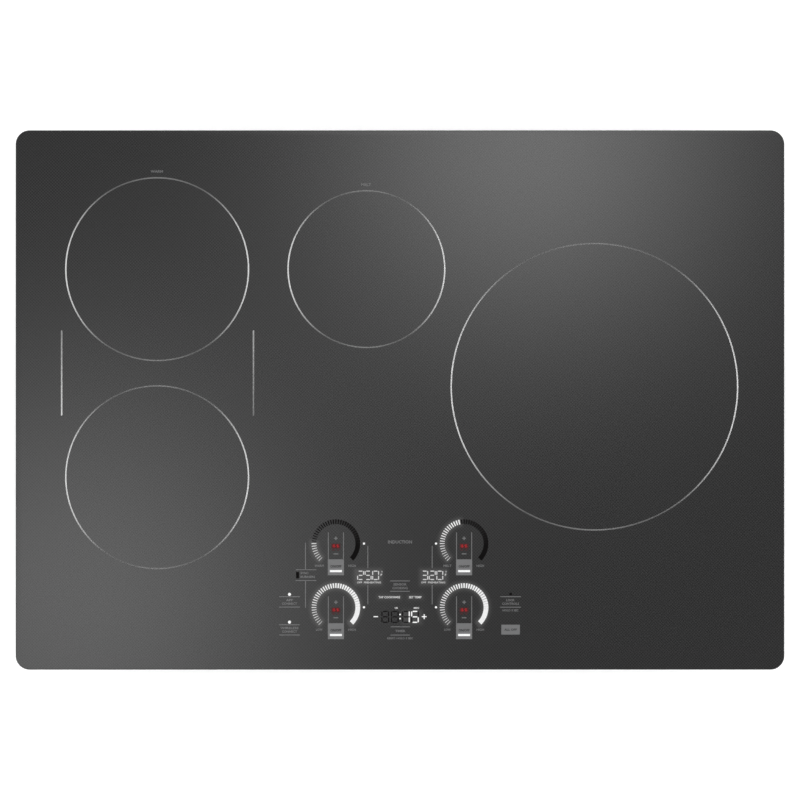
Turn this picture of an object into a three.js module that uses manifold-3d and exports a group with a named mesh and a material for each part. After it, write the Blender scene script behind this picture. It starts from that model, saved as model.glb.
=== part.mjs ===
// A 30 inch electric induction cooktop: a glass plate over a sheet-steel burner box that hangs in a worktop
// cut-out. Inside are four sprung coil units on an aluminium deck, two inverter boards with blowers, a filter
// board and the touch controls. Units are millimetres. The origin is the middle of the footprint, level with
// the underside of the burner box. +X is to the cook's right, +Y is away from the cook and +Z is up.
import * as THREE from "three";
import { mergeVertices } from "three/addons/utils/BufferGeometryUtils.js";
import Module from "manifold-3d";

const wasm = await Module();
wasm.setup();

// Driving dimensions
const glass = { width: 755.65, depth: 530.25, thickness: 4, corner: 13.8, chamfer: 1, top: 104.75 };
const box = { width: 708, depth: 484, corner: 8, sheet: 1, top: 98.25 };
const recess = { x: 236, y: 156, height: 40 }; // the raised corner of the box, where the conduit comes in
const gap = 0.25; // between pieces that bear on each other

// The cooking zones. ring is the radius of the ring printed round the zone.
const zones = [
  { name: "rear_left", x: -239, y: 128.75, ring: 90 },
  { name: "front_left", x: -239, y: -76, ring: 90 },
  { name: "rear_center", x: -33, y: 128.75, ring: 77 },
  { name: "right", x: 191.25, y: 13, ring: 141 },
];

// Levels, from the glass down to the deck under the coils
const glassUnder = glass.top - glass.thickness;
const beadUnder = glassUnder - 1;
const frameTop = beadUnder;
const frameSheet = 1.25;
const gasketUnder = glassUnder - 3;
const micaTop = glassUnder - gap;
const windingTop = micaTop - 1 - gap;
const windingHeight = 3.5;
const carrierTop = windingTop - windingHeight - gap;
const carrierSheet = 2;
const carrierUnder = carrierTop - carrierSheet;
const deck = { width: 690, depth: 466, sheet: 1.5, top: 69.5 };
const floorTop = box.sheet + gap;
const coilTravel = 4;

// Hold-down clamps, one on each side wall
const clamp = {
  x: 367.5, width: 30, ledgeUnder: 28.5, ledge: 2.5, padTop: 58, screw: 3.1, head: 6.5, headUnder: 2,
};
const sideScrew = { y: 170, z: 91, hole: 2 };
const bracketScrew = { z: 46, hole: 2.5 };

// Electronics on the floor of the box
const blowers = [
  { name: "left", x: -215, y: 150 },
  { name: "right", x: 45, y: 150 },
];
const blower = {
  radius: 45, wall: 1.5, height: 33, inlet: 31, outletEnd: -60, outletFrom: 7, wheel: 38, blades: 13,
};
const board = { width: 150, depth: 184, sheet: 1.5, under: 10, y: -8 };
const heatSink = { width: 52, depth: 150, height: 38, base: 6, fins: 8, fin: 2, offset: 26, y: 5 };
const filter = { x: 245, y: -40, width: 130, depth: 190 };
const conduit = { x: 308, y: 200, bore: 10.5, wall: 4, bottom: 12, nipple: 10.5 };
const terminal = { x: 262, y: 200, width: 30, depth: 60, height: 18 };

// Touch controls, centred on the front edge
const panel = { y: -176, width: 250, depth: 124, wall: 1.5, under: 86, top: 98.25 };
const dials = { x: 63, upper: -141, lower: -204, inner: 18.75, outer: 24 };

// ---------------------------------------------------------------- helpers

function solidOf(geometry) {
  const bare = geometry.clone();
  bare.deleteAttribute("normal");
  bare.deleteAttribute("uv");
  const merged = mergeVertices(bare, 1e-4);
  const vertProperties = merged.attributes.position.array;
  const triVerts = new Uint32Array(merged.index.array);
  return new wasm.Manifold(new wasm.Mesh({ numProp: 3, vertProperties, triVerts }));
}

function geometryOf(solid) {
  const { vertProperties, triVerts, numProp } = solid.getMesh();
  const geometry = new THREE.BufferGeometry();
  const positions = new Float32Array((vertProperties.length / numProp) * 3);
  for (let i = 0; i * numProp < vertProperties.length; i += 1) {
    positions.set(vertProperties.subarray(i * numProp, i * numProp + 3), i * 3);
  }
  geometry.setAttribute("position", new THREE.BufferAttribute(positions, 3));
  geometry.setIndex(new THREE.BufferAttribute(triVerts, 1));
  geometry.computeVertexNormals();
  return geometry;
}

function join(...pieces) {
  return geometryOf(pieces.map(solidOf).reduce((a, b) => a.add(b)));
}

function cut(body, ...tools) {
  return geometryOf(tools.map(solidOf).reduce((a, b) => a.subtract(b), solidOf(body)));
}

function block([x0, x1], [y0, y1], [z0, z1]) {
  const geometry = new THREE.BoxGeometry(x1 - x0, y1 - y0, z1 - z0);
  return geometry.translate((x0 + x1) / 2, (y0 + y1) / 2, (z0 + z1) / 2);
}

// A block given by its middle and its size in plan, and its lowest and highest level.
function slabAt(x, y, width, depth, z0, z1) {
  return block([x - width / 2, x + width / 2], [y - depth / 2, y + depth / 2], [z0, z1]);
}

function roundedRect(width, depth, radius) {
  const [w, d] = [width / 2, depth / 2];
  const shape = new THREE.Shape();
  shape.absarc(w - radius, d - radius, radius, 0, Math.PI / 2);
  shape.absarc(radius - w, d - radius, radius, Math.PI / 2, Math.PI);
  shape.absarc(radius - w, radius - d, radius, Math.PI, 1.5 * Math.PI);
  shape.absarc(w - radius, radius - d, radius, 1.5 * Math.PI, 2 * Math.PI);
  return shape;
}

function slab(shape, z0, z1, curveSegments = 3) {
  const geometry = new THREE.ExtrudeGeometry(shape, { depth: z1 - z0, bevelEnabled: false, curveSegments });
  return geometry.translate(0, 0, z0);
}

// A flat ring between two rounded rectangles.
function rectRing(width, depth, radius, band, z0, z1) {
  const shape = roundedRect(width, depth, radius);
  shape.holes.push(roundedRect(width - 2 * band, depth - 2 * band, Math.max(radius - band, 1)));
  return slab(shape, z0, z1);
}

function rod(radius, z0, z1, sides = 24, x = 0, y = 0) {
  const geometry = new THREE.CylinderGeometry(radius, radius, z1 - z0, sides);
  return geometry.rotateX(Math.PI / 2).translate(x, y, (z0 + z1) / 2);
}

// A rod along X.
function pinX(radius, x0, x1, y, z, sides = 10) {
  const geometry = new THREE.CylinderGeometry(radius, radius, x1 - x0, sides);
  return geometry.rotateZ(Math.PI / 2).translate((x0 + x1) / 2, y, z);
}

// Turns a profile of [radius, height] points about the Z axis. It starts and ends on the axis, or closes on
// itself.
function turned(profile, sides) {
  const points = profile.map(([r, z]) => new THREE.Vector2(r, z));
  return new THREE.LatheGeometry(points, sides).rotateX(Math.PI / 2);
}

function washer(inner, outer, z0, z1, sides) {
  return turned([[inner, z0], [outer, z0], [outer, z1], [inner, z1], [inner, z0]], sides);
}

// Copies of a geometry turned evenly about the Z axis.
function aroundZ(geometry, count, start = 0) {
  return Array.from({ length: count }, (_, i) => geometry.clone().rotateZ(start + (i * 2 * Math.PI) / count));
}

class Helix extends THREE.Curve {
  constructor(radius, z0, z1, turns) {
    super();
    Object.assign(this, { radius, z0, z1, turns });
  }

  getPoint(t, target = new THREE.Vector3()) {
    const angle = 2 * Math.PI * this.turns * t;
    const z = this.z0 + (this.z1 - this.z0) * t;
    return target.set(this.radius * Math.cos(angle), this.radius * Math.sin(angle), z);
  }
}

function polygon(radius, sides) {
  const corners = Array.from({ length: sides }, (_, i) => (i * 2 * Math.PI) / sides);
  return new THREE.Shape(corners.map((a) => new THREE.Vector2(radius * Math.cos(a), radius * Math.sin(a))));
}

function tube(path, radius, sides, steps) {
  return new THREE.ExtrudeGeometry(polygon(radius, sides), { extrudePath: path, steps, curveSegments: 1 });
}

// ---------------------------------------------------------------- glass, seal and frame

function glassTop() {
  const { width, depth, thickness, corner, chamfer } = glass;
  const geometry = new THREE.ExtrudeGeometry(roundedRect(width, depth, corner), {
    depth: thickness - 2 * chamfer,
    bevelThickness: chamfer,
    bevelSize: chamfer,
    bevelOffset: -chamfer,
    bevelSegments: 1,
    curveSegments: 5,
  });
  return geometry.translate(0, 0, glassUnder + chamfer);
}

// The foam strip that lies on the worktop round the cut-out.
function countertopGasket() {
  return rectRing(glass.width - 5.65, glass.depth - 5.75, 11.5, 11, gasketUnder, glassUnder);
}

// Silicone between the glass and the steel frame.
function adhesiveBead() {
  return rectRing(712, 488, 9, 7, beadUnder, glassUnder);
}

// The steel frame under the glass, with a skirt that hangs inside the burner box and takes the side screws.
function supportFrame() {
  const flange = rectRing(716, 492, 10, 20, frameTop - frameSheet, frameTop);
  const skirt = rectRing(box.width - 3, box.depth - 3, 7, frameSheet, 84, frameTop - frameSheet / 2);
  const holes = [-1, 1].map((side) => pinX(sideScrew.hole, -400, 400, side * sideScrew.y, sideScrew.z));
  return cut(join(flange, skirt), ...holes);
}

// ---------------------------------------------------------------- burner box

// Parallel slots that fill a circle.
function roundGrille(x, y, radius, pitch, slot) {
  const rows = Math.floor(radius / pitch);
  return Array.from({ length: 2 * rows + 1 }, (_, i) => {
    const offset = (i - rows) * pitch;
    const length = 2 * Math.sqrt(radius * radius - offset * offset) - slot;
    return slabAt(x, y + offset, length, slot, -1, box.sheet + 1);
  });
}

function burnerBox() {
  const { width, depth, corner, sheet, top } = box;
  const far = 400;
  const outside = slab(roundedRect(width, depth, corner), 0, top);
  const inside = slab(roundedRect(width - 2 * sheet, depth - 2 * sheet, corner - sheet), sheet, top + 1);
  const corner0 = block([recess.x, far], [recess.y, far], [-1, recess.height]);
  const corner1 = block([recess.x - sheet, far], [recess.y - sheet, far], [-2, recess.height + sheet]);
  const shell = cut(cut(outside, corner0), cut(inside, corner1));

  const intakes = blowers.flatMap(({ x, y }) => roundGrille(x, y, blower.inlet + 5, 8, 4));
  const exhausts = [-1, 1].flatMap((side) =>
    Array.from({ length: 7 }, (_, i) => slabAt(side * (60 + i * 12), -215, 4, 34, -1, sheet + 1)),
  );
  const louvres = [-1, 1].flatMap((side) =>
    Array.from({ length: 5 }, (_, i) => slabAt(side * (width / 2), -150 + i * 14, 6, 5, 16, 44)),
  );
  const knockout = rod(conduit.bore + 0.75, recess.height - 1, recess.height + 3, 24, conduit.x, conduit.y);
  const screwHoles = [
    ...[-1, 1].map((side) => pinX(sideScrew.hole, -far, far, side * sideScrew.y, sideScrew.z)),
    pinX(bracketScrew.hole, -far, far, 0, bracketScrew.z),
  ];
  return cut(shell, ...intakes, ...exhausts, ...louvres, knockout, ...screwHoles);
}

// ---------------------------------------------------------------- deck and coil units

// The aluminium deck that carries the coils over the electronics, on its own folded legs.
function coilDeck() {
  const { width, depth, sheet, top } = deck;
  const legX = width / 2;
  const lipY = (depth - sheet) / 2;
  const lips = [-1, 1].map((side) => slabAt(0, side * lipY, width, sheet, top - 1, top + 8));
  const legs = [
    block([-legX, sheet - legX], [-225, 225], [floorTop, top - sheet / 2]),
    block([legX - sheet, legX], [-225, recess.y - 11], [floorTop, top - sheet / 2]),
  ];
  const plate = slab(roundedRect(width, depth, 3), top - sheet, top, 1);
  const guides = zones.map(({ x, y }) => rod(13, top - 3, top + 1, 16, x, y));
  const leadSlots = zones.flatMap(({ x, y }) =>
    [-1, 1].map((side) => slabAt(x + side * 38, y, 14, 7, top - 3, top + 1)),
  );
  const harnessSlot = slabAt(0, panel.y, 90, 14, top - 3, top + 1);
  return cut(join(plate, ...lips, ...legs), ...guides, ...leadSlots, harnessSlot);
}

const coilRadius = (zone) => zone.ring - 8;
const carrierRadius = (zone) => zone.ring - 6;
const hub = { outer: 12, inner: 10, under: 62 };
const ferrite = { inner: 25, ring: 31, width: 13, height: 4, bars: 8 };

// The disc that a winding lies on, with a guide tube that runs down through the deck.
function coilCarrier(zone) {
  const disc = rod(carrierRadius(zone), carrierUnder, carrierTop, 32);
  const tubeWall = rod(hub.outer, hub.under, carrierTop - 0.5, 16);
  const bore = rod(hub.inner, hub.under - 1, carrierTop + 1, 16);
  const reach = [38, coilRadius(zone) - 6];
  const slots = aroundZ(block(reach, [-3, 3], [carrierUnder - 1, carrierTop + 1]), ferrite.bars);
  return cut(join(disc, tubeWall), bore, ...slots);
}

// Ferrite bars in a potted ring, under the carrier and between its slots.
function ferriteStar(zone) {
  const [z1, half] = [carrierUnder - gap, ferrite.width / 2];
  const z0 = z1 - ferrite.height;
  const bar = block([ferrite.ring - 3, coilRadius(zone) - 2], [-half, half], [z0, z1]);
  const bars = aroundZ(bar, ferrite.bars, Math.PI / ferrite.bars);
  return join(washer(ferrite.inner, ferrite.ring, z0, z1, 16), ...bars);
}

function coilSpring() {
  const [mean, wire, turns] = [18, 0.9, 3.5];
  const path = new Helix(mean, deck.top + gap + wire, carrierUnder - gap - wire, turns);
  return tube(path, wire, 5, turns * 8);
}

function coilWinding(zone) {
  return washer(ferrite.inner - 1, coilRadius(zone), windingTop - windingHeight, windingTop, 32);
}

function micaDisc(zone) {
  return washer(9.5, carrierRadius(zone) - 1, micaTop - 1, micaTop, 32);
}

// The temperature probe that touches the glass through the middle of the coil.
function glassSensor() {
  const seat = carrierTop + gap;
  const [tip, flange, stem] = [7.5, 13, 5];
  return turned(
    [
      [0, 84], [stem, 84], [stem, seat], [flange, seat], [flange, seat + 1.25], [tip, seat + 2.5],
      [tip, micaTop], [0, micaTop],
    ],
    12,
  );
}

// ---------------------------------------------------------------- electronics

// A radial blower: air comes in through the floor and leaves along -Y, over the heat sink.
function blowerHousing() {
  const { radius, wall, height, inlet, outletEnd, outletFrom } = blower;
  const outside = join(
    rod(radius, 0, height, 24),
    block([outletFrom, radius], [outletEnd, 0], [0, height]),
    slabAt(-radius + 2, -10, 16, 12, 0, 3),
    slabAt(radius - 1, -30, 16, 12, 0, 3),
  );
  const inside = join(
    rod(radius - wall, wall, height - wall, 24),
    block([outletFrom + wall, radius - wall], [outletEnd - 1, 0], [wall, height - wall]),
  );
  const motor = rod(11, 12, height - wall / 2, 16);
  const shaft = rod(1.5, 9.75, 13, 8);
  return join(cut(outside, inside, rod(inlet, -1, wall + 1, 24)), motor, shaft);
}

function blowerWheel() {
  const rim = blower.wheel;
  const hubWall = 14;
  const back = turned(
    [
      [0, 8], [hubWall, 8], [hubWall, 26], [rim, 26],
      [rim, 27.5], [12, 27.5], [12, 9.5], [0, 9.5],
    ],
    20,
  );
  const blade = block([-4.5, 4.5], [-0.6, 0.6], [4.5, 26.5]).rotateZ(0.7).translate(rim - 4.5, 0, 0);
  const ring = washer(rim - 2.5, rim, 4, 6, 20);
  return join(back, ring, ...aroundZ(blade, blower.blades));
}

// An inverter board on its spacers, with film capacitors, electrolytics, a gate transformer and connectors.
function inverterBoard() {
  const { width, depth, sheet, under } = board;
  const top = under + sheet;
  const seat = top - 0.5; // parts dip into the board, as their pins do
  const spacers = [-1, 1].flatMap((i) =>
    [-1, 1].map((j) => rod(3.5, floorTop, seat, 8, i * (width / 2 - 8), j * (depth / 2 - 8))),
  );
  const films = [-1, 0, 1].map((i) => slabAt(-52, i * 36 - 30, 22, 30, seat, top + 24));
  const cans = [0, 1].map((i) => rod(11, seat, top + 30, 16, -52, 42 + i * 28));
  return join(
    slabAt(0, 0, width, depth, under, top),
    ...spacers,
    ...films,
    ...cans,
    slabAt(-26, 30, 16, 22, seat, top + 16),
    slabAt(-28, -74, 12, 20, seat, top + 9),
    slabAt(62, -70, 14, 34, seat, top + 11),
    slabAt(64, 20, 10, 60, seat, top + 14),
  );
}

// A finned aluminium extrusion that stands over the power transistors, fins up and along Y.
function heatSinkBar() {
  const { width, depth, height, base, fins, fin } = heatSink;
  const pitch = (width - fin) / (fins - 1);
  const profile = new THREE.Shape();
  profile.moveTo(-width / 2, 0).lineTo(width / 2, 0);
  for (let i = fins - 1; i >= 0; i -= 1) {
    const x = i * pitch - width / 2;
    profile.lineTo(x + fin, height).lineTo(x, height);
    if (i > 0) profile.lineTo(x, base).lineTo(x - pitch + fin, base);
  }
  const bar = new THREE.ExtrudeGeometry(profile, { depth, bevelEnabled: false });
  return bar.rotateX(Math.PI / 2).translate(0, depth / 2, 0);
}

// The mains filter board, with capacitors, relays and a standby supply.
function filterBoard() {
  const { width, depth } = filter;
  const top = board.under + board.sheet;
  const seat = top - 0.5;
  const spacers = [-1, 1].flatMap((i) =>
    [-1, 1].map((j) => rod(3.5, floorTop, seat, 8, i * (width / 2 - 8), j * (depth / 2 - 8))),
  );
  const relays = [-1, 1].map((i) => slabAt(i * 22 + 20, -62, 16, 28, seat, top + 20));
  return join(
    slabAt(0, 0, width, depth, board.under, top),
    ...spacers,
    ...relays,
    slabAt(-38, -58, 28, 40, seat, top + 22),
    slabAt(-44, 62, 14, 34, seat, top + 26),
    slabAt(-22, 62, 14, 34, seat, top + 26),
    slabAt(38, 70, 40, 14, seat, top + 12),
    rod(8, seat, top + 26, 16, 46, -24),
  );
}

// The common-mode choke: a wound toroid lying on the filter board.
function filterChoke() {
  const [mean, thick] = [20, 8];
  const core = new THREE.TorusGeometry(mean, thick, 8, 16);
  return core.translate(0, 0, board.under + board.sheet + gap + thick);
}

// The mains terminal block, with a rib between each pair of clamps.
function terminalBlock() {
  const { width, depth, height } = terminal;
  const z0 = recess.height + box.sheet + gap;
  const rib = 3;
  const pitch = (depth - rib) / 4;
  const ribs = [-2, -1, 0, 1, 2].map((i) => slabAt(0, i * pitch, width, rib, z0, z0 + height));
  const base = slabAt(0, 0, width, depth, z0, z0 + height / 3);
  const spine = slabAt(0, 0, width / 3, depth, z0, z0 + height - 4);
  return join(base, spine, ...ribs);
}

// The fitting that takes the flexible conduit, seen from its open lower end to the threaded nipple above.
function conduitConnector() {
  const { bore, wall, bottom, nipple } = conduit;
  const roofUnder = recess.height - gap;
  const outer = bore + wall;
  const flange = outer + 2.5;
  const body = turned(
    [
      [bore, bottom], [outer, bottom], [outer, roofUnder - 6], [flange, roofUnder - 5], [flange, roofUnder],
      [nipple, roofUnder], [nipple, roofUnder + 9], [nipple - 2, roofUnder + 9], [nipple - 2, roofUnder - 4],
      [bore, roofUnder - 6], [bore, bottom],
    ],
    24,
  );
  const ears = [-1, 1].map((side) => slabAt(side * (outer + 3), 0, 9, 10, bottom + 3, bottom + 11));
  return cut(join(body, ...ears), rod(bore, bottom - 1, roofUnder - 7, 24));
}

function conduitLocknut() {
  const z0 = recess.height + box.sheet + gap;
  const lugs = aroundZ(slabAt(14.5, 0, 4, 5, z0, z0 + 3), 8);
  return join(washer(conduit.nipple + 0.3, 14, z0, z0 + 3, 24), ...lugs);
}

// The mains leads from the terminal block to the filter board.
function supplyLoom() {
  const path = new THREE.CatmullRomCurve3([
    new THREE.Vector3(terminal.x, terminal.y - terminal.depth / 2 - gap, 50),
    new THREE.Vector3(terminal.x, 148, 50),
    new THREE.Vector3(268, 115, 42),
    new THREE.Vector3(281, 85, 28),
    new THREE.Vector3(283, 58, 20),
    new THREE.Vector3(283, filter.y + 77 + 2 * gap, 19),
  ]);
  return tube(path, 3, 8, 18);
}

// ---------------------------------------------------------------- touch controls

// The plastic tray that holds the control board up against the glass, on two legs that stand on the deck.
function controlTray() {
  const { width, depth, wall, under, top } = panel;
  const shell = cut(
    slab(roundedRect(width, depth, 4), under, top, 2),
    slab(roundedRect(width - 2 * wall, depth - 2 * wall, 2.5), under + wall, top + 1, 2),
  );
  const posts = [-1, 1].flatMap((i) =>
    [-1, 1].map((j) => rod(3, under + wall / 2, under + 5, 8, i * (width / 2 - 12), j * (depth / 2 - 12))),
  );
  const legs = [-1, 1].map((side) => slabAt(side * 92, 0, 16, depth - 40, deck.top + gap, under + wall / 2));
  return join(shell, ...posts, ...legs);
}

// The control board, with the processor and connectors on its underside.
function touchBoard() {
  const z0 = panel.under + 5 + gap;
  return join(
    slabAt(0, 0, panel.width - 6, panel.depth - 6, z0, z0 + 1.5),
    slabAt(-20, 10, 14, 14, z0 - 1.5, z0 + 0.5),
    slabAt(40, -35, 30, 8, z0 - 3, z0 + 0.5),
  );
}

// A 270 degree band, open towards the cook, that lights one power dial.
function dialLight(x, y, z0, z1) {
  const shape = new THREE.Shape();
  const [start, end] = [-Math.PI / 4 - 0.04, (5 * Math.PI) / 4 + 0.04];
  shape.absarc(0, 0, dials.outer, start, end, false);
  shape.absarc(0, 0, dials.inner, end, start, true);
  return slab(shape, z0, z1, 9).translate(x, y, 0);
}

// The light guide: a plate with raised bands and windows that carry each lamp's light up to the glass.
function lightGuide() {
  const z0 = panel.under + 5 + 1.5 + 2 * gap;
  const [seat, top] = [z0 + 1.5, micaTop];
  const y0 = -panel.y;
  const bands = [dials.upper, dials.lower].flatMap((y) =>
    [-1, 1].map((side) => dialLight(side * dials.x, y + y0, seat, top)),
  );
  const digits = [-1, 1].map((side) => slabAt(side * 31, -172 + y0, 28, 14, seat, top));
  return join(
    slabAt(0, 0, panel.width - 14, panel.depth - 14, z0, z0 + 2),
    ...bands,
    ...digits,
    slabAt(0, -212 + y0, 42, 15, seat, top),
  );
}

// ---------------------------------------------------------------- hold-down clamps and screws
// These are drawn for the right-hand side, relative to the middle of the box, and turned half a turn for the
// left.

function holdDownBracket() {
  const { x, width, ledgeUnder, ledge, head } = clamp;
  const wallX = box.width / 2 + gap;
  const half = width / 2;
  const leg = block([wallX, wallX + 2], [-half, half], [ledgeUnder, 62]);
  const shelf = block([wallX, x + head], [-half, half], [ledgeUnder, ledgeUnder + ledge]);
  const webs = [1 - half, half - 1].map((y) => block([wallX, wallX + 8], [y - 1, y + 1], [ledgeUnder, 42]));
  const holes = [
    rod(clamp.screw + 0.3, 20, 40, 20, x, 0),
    pinX(bracketScrew.hole, 300, 380, 0, bracketScrew.z),
  ];
  return cut(join(leg, shelf, ...webs), ...holes);
}

// The thumbscrew, on its own axis, and the pad that its ball end turns in.
const padUnder = clamp.padTop - 4;

function clampScrew() {
  const { screw, head, headUnder } = clamp;
  const headTop = headUnder + 6;
  const shank = turned(
    [
      [0, headUnder], [head - 0.7, headUnder], [head - 0.7, headTop], [screw, headTop],
      [screw, padUnder - gap], [2, padUnder - gap], [2, padUnder + 2], [0, padUnder + 2],
    ],
    16,
  );
  const knurls = aroundZ(slabAt(head - 0.8, 0, 1.6, 1.8, headUnder, headTop), 8);
  return join(shank, ...knurls);
}

function clampPad() {
  return turned(
    [
      [0, padUnder + 2.5], [2.5, padUnder + 2.5], [2.5, padUnder], [6, padUnder],
      [6.5, padUnder + 1], [6.5, clamp.padTop], [0, clamp.padTop],
    ],
    16,
  );
}

// A pan-head screw along X, with its head outside headX.
function panScrew(headX, length, radius, z) {
  const shank = pinX(radius, headX - length, headX + 1, 0, z);
  const head = pinX(radius * 2, headX, headX + 1.4, 0, z);
  const crown = pinX(radius * 1.5, headX + 1, headX + 2.2, 0, z);
  return join(shank, head, crown);
}

// ---------------------------------------------------------------- assembly

const finishes = {
  glass: { color: 0x3a3a3a, roughness: 0.2, metalness: 0 },
  foam: { color: 0x1c1c1c, roughness: 0.95, metalness: 0 },
  silicone: { color: 0x2a2a2a, roughness: 0.6, metalness: 0 },
  galvanised: { color: 0xa9adb0, roughness: 0.45, metalness: 0.9 },
  steel: { color: 0x9a9a9a, roughness: 0.4, metalness: 0.9 },
  aluminium: { color: 0xc9cccf, roughness: 0.35, metalness: 0.9 },
  ferrite: { color: 0x2b2b2e, roughness: 0.7, metalness: 0 },
  copper: { color: 0xb06a3b, roughness: 0.35, metalness: 0.9 },
  mica: { color: 0xc8bda2, roughness: 0.6, metalness: 0 },
  silver: { color: 0xd0d0d0, roughness: 0.3, metalness: 0.9 },
  plastic: { color: 0x1d1e20, roughness: 0.5, metalness: 0 },
  board: { color: 0x1d4a32, roughness: 0.5, metalness: 0 },
  diffuser: { color: 0xe4e6e6, roughness: 0.4, metalness: 0 },
  zinc: { color: 0xb4b7ba, roughness: 0.35, metalness: 0.9 },
  cable: { color: 0x151515, roughness: 0.55, metalness: 0 },
};
const materials = Object.fromEntries(
  Object.entries(finishes).map(([name, finish]) => [name, new THREE.MeshStandardMaterial(finish)]),
);

function place(parent, name, geometry, finish, [x, y, z] = [0, 0, 0]) {
  const mesh = new THREE.Mesh(geometry, materials[finish]);
  mesh.name = name;
  mesh.position.set(x, y, z);
  parent.add(mesh);
  return mesh;
}

function addCoilUnits(root) {
  for (const zone of zones) {
    const unit = new THREE.Group();
    unit.position.set(zone.x, zone.y, 0);
    place(unit, `coil_carrier_${zone.name}`, coilCarrier(zone), "aluminium");
    place(unit, `ferrite_star_${zone.name}`, ferriteStar(zone), "ferrite");
    place(unit, `coil_winding_${zone.name}`, coilWinding(zone), "copper");
    place(unit, `mica_disc_${zone.name}`, micaDisc(zone), "mica");
    place(unit, `glass_sensor_${zone.name}`, glassSensor(), "silver");
    place(unit, `coil_spring_${zone.name}`, coilSpring(), "steel");
    root.add(unit);
  }
}

function addElectronics(root) {
  for (const { name, x, y } of blowers) {
    place(root, `blower_housing_${name}`, blowerHousing(), "plastic", [x, y, floorTop]);
    place(root, `blower_wheel_${name}`, blowerWheel(), "plastic", [x, y, floorTop]);
    place(root, `inverter_board_${name}`, inverterBoard(), "board", [x + 5, board.y, 0]);
    const sinkUnder = board.under + board.sheet + gap;
    const sinkX = x + heatSink.offset;
    place(root, `heat_sink_${name}`, heatSinkBar(), "aluminium", [sinkX, heatSink.y, sinkUnder]);
  }
  place(root, "filter_board", filterBoard(), "board", [filter.x, filter.y, 0]);
  place(root, "filter_choke", filterChoke(), "copper", [filter.x - 22, filter.y + 2, 0]);
  place(root, "terminal_block", terminalBlock(), "plastic", [terminal.x, terminal.y, 0]);
  place(root, "conduit_connector", conduitConnector(), "zinc", [conduit.x, conduit.y, 0]);
  place(root, "conduit_locknut", conduitLocknut(), "zinc", [conduit.x, conduit.y, 0]);
  place(root, "supply_loom", supplyLoom(), "cable");
}

function addControls(root) {
  const group = new THREE.Group();
  group.position.set(0, panel.y, 0);
  place(group, "control_tray", controlTray(), "plastic");
  place(group, "touch_board", touchBoard(), "board");
  place(group, "light_guide", lightGuide(), "diffuser");
  root.add(group);
}

function addSide(root, side, name) {
  const half = new THREE.Group();
  half.rotation.z = side > 0 ? 0 : Math.PI;
  place(half, `hold_down_bracket_${name}`, holdDownBracket(), "galvanised");
  place(half, `clamp_screw_${name}`, clampScrew(), "zinc", [clamp.x, 0, 0]);
  place(half, `clamp_pad_${name}`, clampPad(), "plastic", [clamp.x, 0, 0]);
  const bracketHead = box.width / 2 + 2 + 2 * gap;
  place(half, `bracket_screw_${name}`, panScrew(bracketHead, 8, 2, bracketScrew.z), "zinc");
  const sideHead = box.width / 2 + gap;
  for (const [end, y] of [["front", -sideScrew.y], ["rear", sideScrew.y]]) {
    const screw = panScrew(sideHead, 9, 1.6, sideScrew.z);
    place(half, `side_screw_${end}_${name}`, screw, "zinc", [0, side * y, 0]);
  }
  root.add(half);
}

const cooktop = new THREE.Group();
place(cooktop, "glass_top", glassTop(), "glass");
place(cooktop, "countertop_gasket", countertopGasket(), "foam");
place(cooktop, "glass_adhesive_bead", adhesiveBead(), "silicone");
place(cooktop, "glass_support_frame", supportFrame(), "steel");
place(cooktop, "burner_box", burnerBox(), "galvanised");
place(cooktop, "coil_deck", coilDeck(), "aluminium");
addCoilUnits(cooktop);
addElectronics(cooktop);
addControls(cooktop);
addSide(cooktop, 1, "right");
addSide(cooktop, -1, "left");

export default cooktop;
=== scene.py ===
"""Looks for the induction cooktop: visible pieces, materials, studio and camera around the CAD frame."""

import math

import bmesh
import bpy
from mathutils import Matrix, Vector


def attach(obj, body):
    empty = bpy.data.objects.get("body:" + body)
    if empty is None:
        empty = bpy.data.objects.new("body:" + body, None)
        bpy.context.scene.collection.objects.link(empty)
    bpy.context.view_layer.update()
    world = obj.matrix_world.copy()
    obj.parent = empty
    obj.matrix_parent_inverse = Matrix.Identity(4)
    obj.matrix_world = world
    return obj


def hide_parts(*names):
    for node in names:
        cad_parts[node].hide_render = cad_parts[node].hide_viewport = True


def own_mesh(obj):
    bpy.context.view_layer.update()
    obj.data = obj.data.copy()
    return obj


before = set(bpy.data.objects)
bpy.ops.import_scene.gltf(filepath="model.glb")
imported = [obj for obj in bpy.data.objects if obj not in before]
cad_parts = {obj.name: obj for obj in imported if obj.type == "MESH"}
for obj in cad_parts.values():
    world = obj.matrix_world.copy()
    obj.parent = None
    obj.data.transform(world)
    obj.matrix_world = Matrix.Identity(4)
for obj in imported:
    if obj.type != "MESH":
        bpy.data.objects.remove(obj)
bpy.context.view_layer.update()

MM = 0.001  # everything below is in millimetres unless it says otherwise
ZONES = {"rear_left": (-239, 128.75, 90), "front_left": (-239, -76, 90),
         "rear_center": (-33, 128.75, 77), "right": (191.25, 13, 141)}
# Where the rings are printed. They sit up to half a millimetre off their coils.
RINGS = {"rear_left": (-238.65, 128.6, 89.8), "front_left": (-238.65, -75.9, 89.8),
         "rear_center": (-33, 128.6, 77), "right": (191.05, 13, 140.75)}
SIDES = {"left": -1, "right": 1}
BLOWERS = {"left": (-215, 150), "right": (45, 150)}
GLASS_WIDTH, GLASS_DEPTH, GLASS_CORNER = 755.65, 530.25, 13.8
GLASS_TOP = 104.75
PRINT = GLASS_TOP + 0.02  # where the printing on the glass starts
BOX_HALF = {"side": 354, "end": 242}  # from the middle of the box to the outside of its walls
BOX_CORNER = 8  # the radius of the box's upright corners
RECESS_TOP = 41  # the underside of the conduit recess, which cuts the rear right corner of the box
BOARD = (10, 11.5)  # the underside and the top of the inverter boards and the filter board
SHARP = math.radians(38)  # faces that meet at more than this stay sharp

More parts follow.
